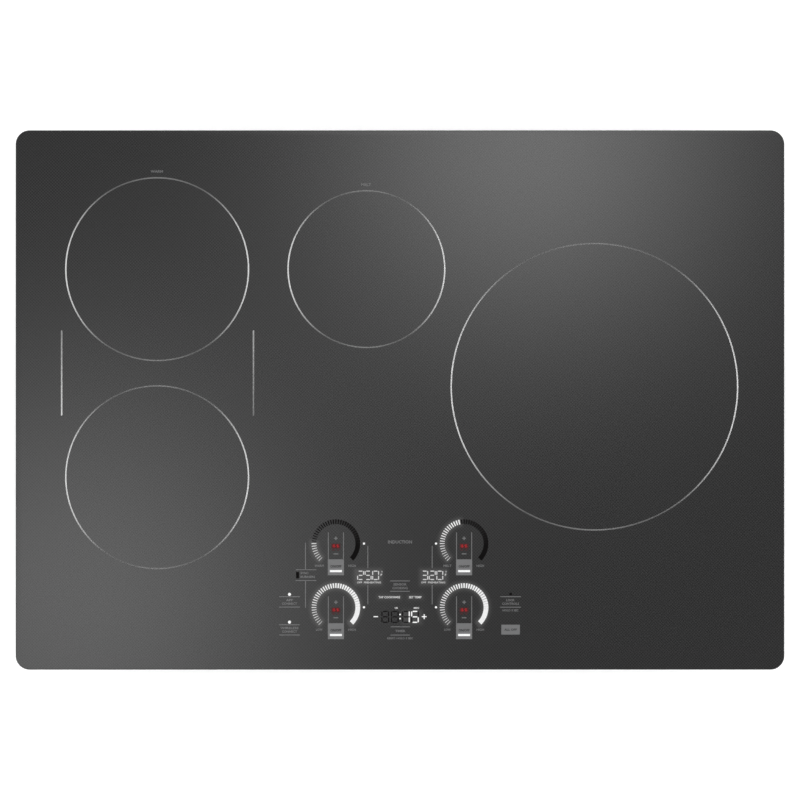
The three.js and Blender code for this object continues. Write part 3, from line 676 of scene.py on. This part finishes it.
def control_marks():
    """The printed marks between and beside the dials."""
    marks = Shape()
    for side in (-1, 1):
        for y0, y1 in ((-165.2, -143.4), (-200.8, -181.8)):
            line(marks, side * 31.6 - 0.4, side * 31.6 + 0.4, y0, y1)
    touch_key(marks, 0, -177.8, -188.0, ("SENSOR", "COOKING"), (13.0, 15.0), (-181.2, -184.8), 19.4)
    touch_key(marks, 0.3, -222.9, -231.0, ("TIMER",), (9.9,), (-227.0,), 19.0)
    touch_key(marks, -108.6, -193.3, -203.5, ("APP", "CONNECT"), (7.0, 14.8), (-196.6, -200.1))
    touch_key(marks, -108.6, -220.9, -230.9, ("WIRELESS", "CONNECT"), (17.7, 14.8), (-224.1, -227.6))
    touch_key(marks, 108.6, -193.3, -203.6, ("LOCK", "CONTROLS"), (8.2, 16.8), (-196.7, -200.2))
    captions = (("INDUCTION", 0, -139.5, 23.6, 3.2), ("RESET: HOLD 3 SEC", 0, -234.2, 25.4, 1.9),
                ("HOLD 3 SEC", 108.6, -206.7, 15.6, 2.1), ("SYNC", -93.8, -170.1, 7.8, 2.2),
                ("BURNERS", -90.6, -173.8, 14.3, 2.2))
    for words, x, y, width, height in captions:
        marks.text(words, x, y, width, height, "grey_print")
    disc(marks, 108.7, -190.7, 1.4, "lamp_off")
    line(marks, 99.6, 117.8, -230.5, -220.8, "block_print", 0.04)
    marks.text("ALL OFF", 108.7, -225.7, 12.4, 2.3, "dark_print", PRINT + 0.05)
    for y0, y1 in ((-166.6, -140.4), (-204.4, -177.6)):
        line(marks, -93.3, -92.5, y0, y1)
    for y in (-166.8, -177.4):
        line(marks, -102.5, -82.2, y - 0.35, y + 0.35)
    line(marks, -102.1, -99.2, -175.3, -168.9, "lamp_off")
    marks.make("control_marks", slot="ceramic_glass")


def control_lamps():
    """The lit and unlit readouts, their captions and the indicator lamps."""
    lamps = Shape()
    for side in (-1, 1):
        for y in (-141.1, -203.7):
            disc(lamps, side * 35.4, y, 1.1, "lamp_white")
    for y in (-191.0, -218.3):
        disc(lamps, -108.6, y, 1.5, "lamp_white")
    for x0, value in ((-31.35, "250"), (31.7, "320")):
        for i, number in enumerate(value):
            digit(lamps, number, x0 + (i - 1) * 7.4, -172.3, 6.8, 9.2, 1.0, "lamp_soft", gap=0.6)
        lamps.text("°", x0 + 13.5, -168.7, 1.8, 1.8, "lamp_dim")
        lamps.text("F", x0 + 13.1, -171.8, 1.5, 2.1, "lamp_soft")
        lamps.text("OFF  PREHEATING", x0 + 0.9, -179.3, 23.6, 1.8, "lamp_soft", weight=0.012)
    captions = (("TAP COOKWARE", -10.5, -193.8, 21.2, 2.2), ("SET TEMP", 15.0, -193.8, 12.4, 2.2),
                ("HR", -3.5, -204.4, 3.1, 1.9), ("MIN", 16.1, -204.4, 5.1, 1.9))
    for words, x, y, width, height in captions:
        lamps.text(words, x, y, width, height, "lamp_soft")
    for x, value in ((-14.5, ""), (-5.1, ""), (5.9, "1"), (14.7, "5")):
        digit(lamps, value, x, -213.1, 7.6, 11.9, 1.15, "lamp_white", "lamp_off", gap=0.4)
    for y in (-210.8, -214.85):
        disc(lamps, 0.1, y, 0.8, "lamp_white")
    cross(lamps, -23.8, -212.9, 4.3, 1.0, "lamp_white", upright=False)
    cross(lamps, 23.75, -212.9, 4.7, 1.0, "lamp_white")
    lamps.make("control_lamps", slot="diffuser")


def controls():
    low_words = (("WARM", 9.2), ("MELT", 8.0), ("LOW", 6.4), ("LOW", 6.4))
    for (name, place), (word, width) in zip(DIALS.items(), low_words):
        dial(name, *place, word, width)
    control_marks()
    control_lamps()


# ---------------------------------------------------------------- box, brackets and screws

def screw(name, head, shank, tip, long, point, out):
    """A hexagon washer-head screw in place of a CAD one, which points along X, out from a point."""
    high, across = 2.2, head * 0.72
    washer = [(0, 0), (head, 0), (head, high * 0.22), (head * 0.86, high * 0.36), (0, high * 0.4)]
    shape = Shape().turned(washer, "zinc", 28)
    hexagon = ((across, high * 0.3), (across, high * 0.86), (across * 0.86, high))
    shape.loft([circle(r, 6, z, 0.1) for r, z in hexagon], "zinc", soft=False)
    shape.turned([(0, -long), (tip, 0.4 - long), (shank, 2.5 - long), (shank, 0.1), (0, 0.1)], "zinc", 16)
    shape.points = [(point[0] + out * z, point[1] + out * x, point[2] + y) for x, y, z in shape.points]
    shape.make(f"{name}_piece", slot="zinc", replaces=name)


def screws():
    for side, out in SIDES.items():
        for end, y in (("front", -170), ("rear", 170)):
            screw(f"side_screw_{end}_{side}", 3.2, 1.55, 0.7, 9, (out * 354.25, y, 91), out)
        screw(f"bracket_screw_{side}", 4.0, 1.95, 0.9, 8, (out * 356.5, 0, 46), out)


def thread(radius, depth, pitch, z0, z1, steps=20):
    """Rings of a screw thread, one profile point per turn step, so that the crest climbs round the shank."""
    levels = int((z1 - z0) / pitch * 4)
    rings = []
    for i in range(levels + 1):
        ring = []
        for k, a in enumerate(around(steps)):
            phase = (i / 4 - k / steps) % 1.0
            crest = 1 - abs(2 * phase - 1)
            fade = min(1.0, i / 4, (levels - i) / 4)
            r = radius - depth * (1 - crest) * fade - depth * (1 - fade)
            ring.append((r * math.cos(a), r * math.sin(a), z0 + i * pitch / 4))
        rings.append(ring)
    return rings


def clamps():
    """The thumbscrews of the hold-down clamps, with knurled heads below, and their pads above."""
    for side, out in SIDES.items():
        x = out * 367.5
        shape = Shape(x).loft(thread(3.1, 0.55, 1.27, 7.6, 53.7), "zinc")
        knurl = [(5.6 + 0.85 * abs(math.cos(a * 12)) ** 0.6, a) for a in around(96)]
        levels = ((0.86, 2), (0.96, 2.3), (1, 2.8), (1, 7.2), (0.96, 7.7), (0.86, 8))
        shape.loft([polar_loop(knurl, f, z) for f, z in levels], "zinc")
        shape.turned([(0, 53.6), (1.9, 53.6), (1.9, 54.8), (2.3, 55.3), (2.2, 55.9), (0, 56.1)], "zinc", 20)
        shape.make(f"thumbscrew_{side}", f"clamp_screw_{side}", "zinc", f"clamp_screw_{side}")
        pad = Shape(x)
        pad.turned([(0, 56.5), (2.5, 56.4), (2.5, 54.1), (3.1, 54), (5.7, 54), (6.3, 54.4), (6.5, 55.2),
                    (6.5, 57.3), (6.2, 57.85), (5.6, 58), (4.6, 57.9), (4.5, 57.7), (0, 57.7)], "nylon", 40)
        pad.make(f"pressure_pad_{side}", f"clamp_pad_{side}", "black_plastic", f"clamp_pad_{side}")


def corner_laps():
    """Beside each corner of the box, the flap of the end wall on the side wall, and its spot welds."""
    shape = Shape()
    weld = [(0, 0.8), (2.4, 0.8), (2.4, 0.95), (1.7, 1.2), (0, 1.26)]
    middle = BOX_HALF["end"] - BOX_CORNER - 9
    for out in SIDES.values():
        for end in (-1, 1):
            over_recess = out > 0 and end > 0
            foot, lowest_weld = (RECESS_TOP + 3, 56) if over_recess else (3, 14)
            flap = Shape().box((-8, 8), (foot, 93), (-0.3, 0.9), "galvanised", 0.35)
            for height in range(lowest_weld, 92, 16):
                flap.turned(weld, "galvanised", 20, at=(0, height))
            shape.join(flap.onto_wall("side", out, end * middle), "galvanised")
    shape.make("corner_laps", slot="galvanised_steel")


def pressed_beads():
    """Long half-round beads that stiffen the front and rear walls."""
    shape = Shape()
    half, rise, height, levels = 4.5, 1.1, 22, 5
    for out, spans in ((-1, ((-300, -70), (70, 300))), (1, ((-300, -70), (-20, 210)))):
        for low, high in spans:
            rings = []
            for level in range(levels + 1):
                a = math.pi / 2 * level / levels
                reach = half * math.cos(a) + 0.4
                long, z = high - low - 2 * (half - reach), rise * math.sin(a) - 0.1
                rings.append([(x, y + height, z) for x, y, z in rounded_loop(long, 2 * reach, reach, z)])
            bead = Shape().loft(rings, "galvanised")
            shape.join(bead.onto_wall("end", out, (low + high) / 2), "galvanised")
    shape.make("pressed_beads", slot="galvanised_steel")


def spot_welds():
    shape = Shape()
    for out in SIDES.values():
        for y in (-130, -60, 60, 100):
            profile = [(0, -0.2), (2.6, -0.2), (2.6, 0.05), (1.8, 0.3), (0, 0.36)]
            weld = Shape().turned(profile, "galvanised", 20, at=(0, 14))
            shape.join(weld.onto_wall("side", out, y), "galvanised")
    shape.make("spot_welds", slot="galvanised_steel")


def data_label():
    """The rating label on the front wall, blank apart from its ruled lines."""
    label = Shape().box((-38, 38), (40, 68), (-0.12, 0.2), "foil_label")
    for y in (41.6, 45.8, 50.0, 54.2, 58.4, 66.1):
        label.box((-36.4, 36.4), (y, y + 0.3), (0.15, 0.23), "dark_print")
    for x in (-36.4, -12.0, 12.0, 36.1):
        label.box((x, x + 0.3), (41.6, 58.7 if abs(x) < 20 else 66.4), (0.15, 0.24), "dark_print")
    label.onto_wall("end", -1).make("data_label_blank", slot="galvanised_steel")


def earth_stud():
    profile = [(0, -0.3), (4.6, -0.3), (4.6, 0.7), (2.6, 0.9), (2.6, 4.2), (2.2, 4.6), (0, 4.6)]
    stud = Shape().turned(profile, "brass", 24, at=(0, 60))
    stud.onto_wall("side", -1, 205).make("earth_stud", slot="zinc")


# ---------------------------------------------------------------- inside: coils

def spiral(inner, outer, pitch, z, steps_per_turn):
    count = int((outer - inner) / pitch * steps_per_turn)
    path = []
    for i in range(count + 1):
        turns = i / steps_per_turn
        r = inner + pitch * turns
        path.append((r * math.cos(math.tau * turns), r * math.sin(math.tau * turns), z))
    return path


def spring_path(radius, turns, low, high, steps=24):
    """A compression spring's wire, with its last turns nearly flat at both ends."""
    path = []
    for i in range(turns * steps + 1):
        a, t = math.tau * i / steps, i / (turns * steps)
        z = low + (high - low) * min(max((t - 0.14) / 0.72, 0), 1) + 0.35 * (t - 0.5)
        path.append((radius * math.cos(a), radius * math.sin(a), z))
    return path


def coil_units():
    """In each zone, what rides with the coil (its winding and its glass sensor) and the spring under it."""
    inner, margin, pitch, level, wire_radius = 26, 9.9, 3.55, 97.5, 1.7
    sensor = [(0, 84), (4.4, 84), (5, 84.6), (5, 95.75), (12.4, 95.75), (13, 96.1), (13, 96.8), (12, 97.1),
              (8.6, 97.3), (7.7, 98), (7.5, 99), (7.5, 99.9), (7.0, 100.4), (0, 100.5)]
    for name, (x, y, radius) in ZONES.items():
        body = f"coil_unit_{name}"
        turns = spiral(inner, radius - margin, pitch, level, 48 if radius > 100 else 40)
        winding = Shape(x, y).tube(turns, wire_radius, "litz", 6)
        winding.make(f"litz_winding_{name}", body, "copper_wire", f"coil_winding_{name}")
        probe = Shape(x, y).turned(sensor, "probe_steel")
        for lead in (-1.6, 1.6):
            hanging = [(lead, 0, 84.4), (lead, 0, 80), (lead * 1.4, 1, 76), (lead, 3, 72)]
            probe.tube(hanging, 0.7, "lead_black")
        probe.make(f"probe_{name}", body, "sensor_steel", f"glass_sensor_{name}")
        spring = Shape(x, y).tube(spring_path(18, 5, 70.7, 92.4), 0.85, "bright_wire")
        piece = spring.make(f"spring_{name}", "chassis", "spring_steel", f"coil_spring_{name}")
        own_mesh(piece)


# ---------------------------------------------------------------- inside: electronics

# width, depth, height and finish of the small parts on a board
SMALL_PARTS = {"chip": (9, 7, 1.6, "chip"), "part": (3.2, 1.8, 1.0, "film_grey"), "coil": (7, 7, 4, "chip")}


def electrolytic(shape, x, y, radius, z, height):
    """A can capacitor in its sleeve, with a bright top."""
    top = z + height
    sleeve = [(0, z), (radius * 0.94, z), (radius, z + 0.8), (radius, z + 2.2), (radius * 0.94, z + 2.8),
              (radius, z + 3.4), (radius, top - 0.9), (radius * 0.93, top), (radius * 0.88, top)]
    shape.turned(sleeve, "can_sleeve", at=(x, y))
    lid = [(0, top - 0.5), (radius * 0.86, top - 0.5), (radius * 0.86, top - 0.1), (0, top - 0.15)]
    shape.turned(lid, "can", at=(x, y))


def small_parts(shape, z, spots):
    """Chips with their legs, and chip resistors and coils, on a board."""
    for kind, places in spots.items():
        w, d, h, finish = SMALL_PARTS[kind]
        for x, y in places:
            shape.block(w, d, (z, z + h), finish, 0.3, (x, y))
    reach = SMALL_PARTS["chip"][1] / 2 + 0.6
    for x, y in spots["chip"]:
        for side in (-1, 1):
            for k in range(5):
                shape.block(0.6, 1.4, (z, z + 0.5), "solder", at=(x - 3.2 + k * 1.6, y + side * reach))


def bare_board(shape, half_x, half_y):
    """A board on four hexagon spacers, with a screw head over each."""
    top = BOARD[1]
    head = [(0, top), (3.4, top), (3.4, top + 0.8), (2.4, top + 1.9), (0, top + 2.1)]
    shape.block(2 * half_x, 2 * half_y, BOARD, "circuit")
    for i in (-1, 1):
        for j in (-1, 1):
            at = (i * (half_x - 8), j * (half_y - 8))
            shape.loft([circle(3.4, 6, 1.25), circle(3.4, 6, 9.95)], "brass", soft=False, at=at)
            shape.turned(head, "zinc", 24, at=at)


def inverters():
    for name, (x, _) in BLOWERS.items():
        shape, top = Shape(x + 5, -8), BOARD[1]
        bare_board(shape, 75, 92)
        for i, finish in ((-1, "film_yellow"), (0, "film_grey"), (1, "film_yellow")):
            shape.block(22, 30, (top, top + 24), finish, 1.0, (-52, i * 36 - 30))
        for i in (0, 1):
            electrolytic(shape, -52, 42 + i * 28, 11, top, 30)
        shape.block(16, 22, (top, top + 12), "enamel_wire", 2.5, (-26, 30))
        shape.block(15, 10, (top, top + 16), "ferrite", 0.8, (-26, 30))
        shape.block(12, 20, (top, top + 9), "nylon", 0.6, (-28, -74))
        for k in range(5):
            shape.block(10, 2, (top + 8.6, top + 9.6), "solder", at=(-28, k * 3.8 - 81))
        shape.block(14, 34, (top, top + 11), "relay", 0.8, (62, -70))
        shape.block(10, 60, (top, top + 3), "nylon", 0.5, (64, 20))
        post = [(0, top + 2.8), (3.2, top + 2.8), (3.2, top + 11), (2.4, top + 13.6), (0, top + 14)]
        for k in range(6):
            shape.turned(post, "brass", 20, at=(64, k * 10 - 5))
        small_parts(shape, top, {
            "chip": [(-20, -30), (-24, -48), (-22, 62), (62, 78)],
            "part": [(-30, -12), (-24, -12), (-18, -12), (-30, -6), (-24, -6), (-30, 76), (-24, 76),
                     (66, 66), (60, 66), (66, -30), (60, -30)],
            "coil": [(64, -40)]})
        shape.make(f"inverter_{name}", slot="circuit_board", replaces=f"inverter_board_{name}")


def filter_section():
    shape, top = Shape(245, -40), BOARD[1]
    bare_board(shape, 65, 95)
    for i in (-1, 1):
        shape.block(16, 28, (top, top + 20), "relay", 0.8, (i * 22 + 20, -62))
    shape.block(28, 40, (top, top + 22), "film_grey", 1.0, (-38, -58))
    for x in (-44, -22):
        shape.block(14, 34, (top, top + 26), "film_yellow", 1.0, (x, 62))
    shape.block(40, 14, (top, top + 12), "nylon", 0.8, (38, 70))
    for k in range(4):
        terminal = [(0, top + 11.6), (2.8, top + 11.6), (2.8, top + 12), (0, top + 12.2)]
        shape.turned(terminal, "zinc", 20, at=(24 + k * 9.4, 70))
    electrolytic(shape, 46, -24, 8, top, 26)
    small_parts(shape, top, {
        "chip": [(0, 30)],
        "part": [(14, 30), (20, 30), (14, 36), (44, 14), (44, 22), (-50, -16), (-50, -8), (0, -84), (8, -84),
                 (54, 44)],
        "coil": [(30, 10)]})
    shape.make("filter_section", slot="circuit_board", replaces="filter_board")


def toroid_choke():
    """A ring core with two windings, each a tube wound round it."""
    z, core, wound, turns, steps = 19.9, 5.6, 6.6, 14, 12
    choke = Shape(223, -38)
    choke.ring([(20 + core * math.cos(a), z + core * math.sin(a)) for a in around(16)], "core_green", 48)
    for half in (0, 1):
        path = []
        for i in range(turns * steps + 1):
            a = math.pi * half + math.radians(18 + 144 * i / (turns * steps))
            b = math.tau * i / steps
            r = 20 + wound * math.cos(b)
            path.append((r * math.cos(a), r * math.sin(a), z + wound * math.sin(b)))
        choke.tube(path, 0.95, "enamel_wire", 6)
    choke.make("toroid_choke", slot="copper_wire", replaces="filter_choke")


def blower_wheels():
    """Two blower wheels with curved blades between a plate and a ring, and the motor plates over them."""
    z, blades = 1.25, 31
    plate = [(12, z + 9.5), (0.6, z + 9.5), (0.6, z + 8), (13.2, z + 8), (14, z + 8.8), (14, z + 25.2),
             (15, z + 26), (38, z + 26), (38, z + 27.5), (12.8, z + 27.5), (12, z + 26.7)]
    arc = [(38.9 - 9.4 * s + 0.2, 3.6 * s * s + 1.8 * s) for s in (0.14, 0.3, 0.5, 0.7, 0.88, 1)]
    blade = [(px, py + 0.4) for px, py in arc] + [(px, py - 0.4) for px, py in reversed(arc)]
    top = z + 33
    cap = [(0, top - 0.5), (9.5, top - 0.5), (9.5, top + 0.25), (8.6, top + 0.6), (0, top + 0.6)]
    for name, (x, y) in BLOWERS.items():
        shape = Shape(x, y)
        shape.ring(plate, "black_plastic", 48)
        shape.ring([(35.4, z + 4), (38, z + 4), (38, z + 6), (35.4, z + 6)], "black_plastic", 48)
        for turn in around(blades):
            shape.prism(blade, z + 4.3, z + 26.4, "black_plastic", turn=turn)
        shape.make(f"impeller_{name}", f"blower_wheel_{name}", "black_plastic", f"blower_wheel_{name}")
        Shape(x, y).turned(cap, "motor_steel").make(f"motor_plate_{name}", slot="black_plastic")


# ---------------------------------------------------------------- inside: supply

def terminal_strip():
    """Four poles between plastic walls, each with two clamp screws on brass."""
    z, pitch = 41.25, 14.25
    block = Shape(262, 200).block(30, 60, (z, z + 6), "nylon", 0.6)
    for k in range(5):
        block.block(30, 3, (z + 5.5, z + 18), "nylon", 0.5, (0, (k - 2) * pitch))
    screw_top = [(0, z + 7.2), (3.2, z + 7.2), (3.2, z + 9), (2.5, z + 9.9), (0, z + 10.1)]
    for k in range(4):
        y = (k - 1.5) * pitch
        block.block(10, 10.8, (z + 5.5, z + 11), "nylon", 0.4, (0, y))
        for x in (-9.5, 9.5):
            block.block(9.2, 8.8, (z + 5.9, z + 7.4), "brass", 0.3, (x, y))
            block.turned(screw_top, "zinc", 24, at=(x, y))
    block.make("terminal_strip", slot="terminal_plastic", replaces="terminal_block")


def conduit_gland():
    """The conduit fitting with its cable clamp below the recess, and the locknut on its thread above."""
    x, y = 308, 200
    gland = Shape(x, y)
    ridges = [(r, 41.9 + 1.4 * k + rise) for k in range(4) for r, rise in ((10.5, 0), (9.9, 0.7))]
    outside = [(10.5, 12.6), (11.1, 12), (13.9, 12), (14.5, 12.6), (14.5, 33), (15.1, 33.75), (16.2, 34.3),
               (17, 35.1), (17, 39.2), (16.6, 39.75), (10.5, 39.75), (10.5, 41), (9.9, 41.4), *ridges]
    inside = [(10.4, 47.6), (9.7, 48.75), (8.9, 48.75), (8.5, 48.2), (8.5, 35.75), (10.5, 33.75)]
    gland.ring(outside + inside, "cast_zinc")
    head = [(0, 22.8), (3, 22.8), (3, 24.4), (2.3, 25.4), (0, 25.6)]
    for side in (-1, 1):
        gland.block(8.8, 10, (15, 23), "cast_zinc", 1.2, (side * 17.5, 0))
        gland.block(3.2, 10, (15.2, 22.8), "cast_zinc", at=(side * 14, 0))
        gland.turned(head, "zinc", 24, at=(side * 18.6, 0))
    gland.make("conduit_gland", slot="zinc", replaces="conduit_connector")
    steps = 96
    lobes = [(13.2 + 3.2 * max(0.0, math.cos(8 * a)) ** 0.35, a) for a in around(steps)]
    inside = [circle(r, steps, z) for r, z in ((11.2, 44.25), (10.9, 44.1), (10.9, 41.4), (11.2, 41.25))]
    outside = [polar_loop(lobes, f, z) for f, z in ((0.98, 41.25), (1, 41.5), (1, 44), (0.98, 44.25))]
    nut = Shape(x, y).loft(inside + outside, "zinc", closed=True)
    nut.make("gland_nut", slot="zinc", replaces="conduit_locknut")


def smooth_path(points, steps):
    """Catmull-Rom points through a route."""
    points = [Vector(p) for p in points]
    padded = [2 * points[0] - points[1]] + points + [2 * points[-1] - points[-2]]
    out = []
    for i in range(1, len(padded) - 2):
        a, b, c, d = padded[i - 1:i + 3]
        for k in range(steps):
            t = k / steps
            bend = (2 * a - 5 * b + 4 * c - d) * t ** 2 + (3 * b - a - 3 * c + d) * t ** 3
            out.append(0.5 * (2 * b + (c - a) * t + bend))
    return [tuple(p) for p in out + [points[-1]]]


def mains_leads():
    """Three leads twisted together from the terminal block down to the filter board."""
    route = [(262, 169.7, 50), (262, 158, 50), (263.5, 146, 49), (266, 128, 45), (269, 112, 40),
             (273.5, 98, 34), (278.5, 84, 28), (281.6, 70, 23.4), (283, 58, 20.4), (283, 47, 19.2),
             (283, 37.6, 19)]
    smooth = smooth_path(route, 5)
    leads, lay = Shape(), 1.55
    for k, finish in enumerate(("lead_black", "lead_red", "lead_green")):
        path = []
        for i, (x, y, z) in enumerate(smooth):
            a = math.tau * k / 3 + i * 0.16
            path.append((x + lay * math.cos(a), y, z + lay * math.sin(a)))
        leads.tube(path, 1.3, finish, 10)
    leads.make("mains_leads", slot="cable_sheath", replaces="supply_loom")


# ---------------------------------------------------------------- CAD nodes that stay

# name: finish and the width that its edges are eased by
KEPT = {"countertop_gasket": ("foam", 0.6), "glass_adhesive_bead": ("silicone", 0.2),
        "glass_support_frame": ("frame_steel", 0.3), "burner_box": ("galvanised", 0.4),
        "coil_deck": ("deck_aluminium", 0.3), "control_tray": ("black_plastic", 0.4),
        "touch_board": ("circuit", 0.1), "light_guide": ("diffuser", 0.3)}
KEPT_PER_ZONE = {"coil_carrier": ("carrier_aluminium", 0.3), "ferrite_star": ("ferrite", 0.5),
                 "mica_disc": ("mica", 0.1)}
KEPT_PER_SIDE = {"blower_housing": ("black_plastic", 0.5), "heat_sink": ("fin_aluminium", 0.25),
                 "hold_down_bracket": ("galvanised", 0.35)}


def dress_kept_nodes():
    dressing = dict(KEPT)
    for group, places in ((KEPT_PER_ZONE, ZONES), (KEPT_PER_SIDE, SIDES)):
        for name, dress in group.items():
            for place in places:
                dressing[f"{name}_{place}"] = dress
    for name, (finish, width) in dressing.items():
        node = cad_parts[name]
        if not node.material_slots:
            node.data.materials.append(None)
        for entry in node.material_slots:
            entry.link = "OBJECT"
            entry.material = material(finish)
        ease_edges(node, width)


# ---------------------------------------------------------------- studio, in metres

def glow_material(name, lobes, base):
    """Plain emission with soft round lobes, each (x, y, reach x, reach y, strength)."""
    made = bpy.data.materials.new(name)
    made.use_nodes = True
    made.node_tree.nodes.clear()
    n = Nodes(made.node_tree)
    x, y, _ = n.split(n.where())
    total = base
    for middle_x, middle_y, reach_x, reach_y, strength in lobes:
        parts = []
        for axis, middle, reach in ((x, middle_x, reach_x), (y, middle_y, reach_y)):
            offset = n.math("DIVIDE", n.minus(axis, middle), reach)
            parts.append(n.times(offset, offset))
        fall = n.math("POWER", math.e, n.times(n.plus(*parts), -0.5))
        total = n.plus(total, n.times(fall, strength))
    shine = n.add("Emission", {"Color": (1, 1, 1, 1), "Strength": total})
    n.add("OutputMaterial", {"Surface": shine.outputs[0]})
    return made


def plane(name, half_x, half_y, z, finish):
    corners = [(-half_x, -half_y, z), (half_x, -half_y, z), (half_x, half_y, z), (-half_x, half_y, z)]
    mesh = bpy.data.meshes.new(name)
    mesh.from_pydata(corners, [], [(0, 1, 2, 3)])
    mesh.materials.append(finish)
    piece = bpy.data.objects.new(name, mesh)
    bpy.context.scene.collection.objects.link(piece)
    return piece


def softbox(name, place, aim, width, height, power):
    data = bpy.data.lights.new(name, "AREA")
    data.shape = "RECTANGLE"
    data.size, data.size_y = width, height
    data.energy = power
    box = bpy.data.objects.new(name, data)
    box.location = place
    box.rotation_mode = "QUATERNION"
    box.rotation_quaternion = (Vector(aim) - Vector(place)).to_track_quat("-Z", "Y")
    bpy.context.scene.collection.objects.link(box)


def floor():
    """A pale floor that lights itself a little, and more towards the horizon."""
    made = bpy.data.materials.new("studio_floor")
    made.use_nodes = True
    n = Nodes(made.node_tree)
    reach = n.add("VectorMath", {0: n.where()}, operation="LENGTH").outputs["Value"]
    n.look({"Base Color": (0.8, 0.8, 0.8, 1), "Roughness": 0.9, "Emission Color": (1, 1, 1, 1),
            "Emission Strength": n.remap(reach, 1.2, 5.0, 0.42, 0.66)})
    plane("floor", 40, 40, -0.0005, made)


def reflector_card():
    """A card over the glass, which only its reflections see.

    It puts two broad soft highlights in the glass, and a fainter one between."""
    height = 0.7
    reach = 1 + height / CAMERA_HEIGHT  # from a place on the glass to the place on the card that it reflects
    seen = [(0.149, 0.325, 0.161, 0.167, 2.96), (-0.359, -0.256, 0.182, 0.207, 2.22),
            (-0.1, 0.08, 0.3, 0.2, 0.115)]
    lobes = [(x * reach, y * reach, wide * reach, deep * reach, power) for x, y, wide, deep, power in seen]
    glow = glow_material("card_glow", lobes, 0.24)
    card = plane("reflector_card", 0.62, 0.52, GLASS_TOP * MM + height, glow)
    card.visible_camera = card.visible_diffuse = card.visible_shadow = card.visible_transmission = False


def sky():
    """Plain air, bright near the horizon and dim overhead."""
    world = bpy.data.worlds.new("studio_air")
    bpy.context.scene.world = world
    world.use_nodes = True
    n = Nodes(world.node_tree)
    up = n.split(n.where("Generated"))[2]
    background = world.node_tree.nodes["Background"]
    n.feed(background.inputs["Strength"], n.remap(up, 0.3, 0.62, 0.92, 0.2))
    n.feed(background.inputs["Color"], (1, 1, 1, 1))


def studio():
    floor()
    reflector_card()
    for side, out in SIDES.items():
        softbox(f"side_light_{side}", (out * 1.7, 0, 1.35), (0, 0, 0.1), 2.4, 1.1, 16)
    softbox("rear_light", (0, 1.7, 1.3), (0, 0, 0.1), 0.8, 0.8, 6)
    softbox("front_light", (0, -1.7, 1.3), (0, 0, 0.1), 0.8, 0.8, 5)
    softbox("top_light", (0, 0, 2.6), (0, 0, 0), 1.7, 1.7, 26)
    sky()
    bpy.context.scene.view_settings.view_transform = "Standard"


def camera():
    data = bpy.data.cameras.new("camera")
    data.lens, data.sensor_width = LENS, SENSOR
    data.clip_start, data.clip_end = 0.1, 30
    eye = bpy.data.objects.new("camera", data)
    eye.location = (0, 0, GLASS_TOP * MM + CAMERA_HEIGHT)
    bpy.context.scene.collection.objects.link(eye)
    bpy.context.scene.camera = eye


camera()
studio()
dress_kept_nodes()
glass_plate()
zone_marks()
controls()
screws()
clamps()
corner_laps()
pressed_beads()
spot_welds()
data_label()
earth_stud()
coil_units()
inverters()
filter_section()
toroid_choke()
blower_wheels()
terminal_strip()
conduit_gland()
mains_leads()
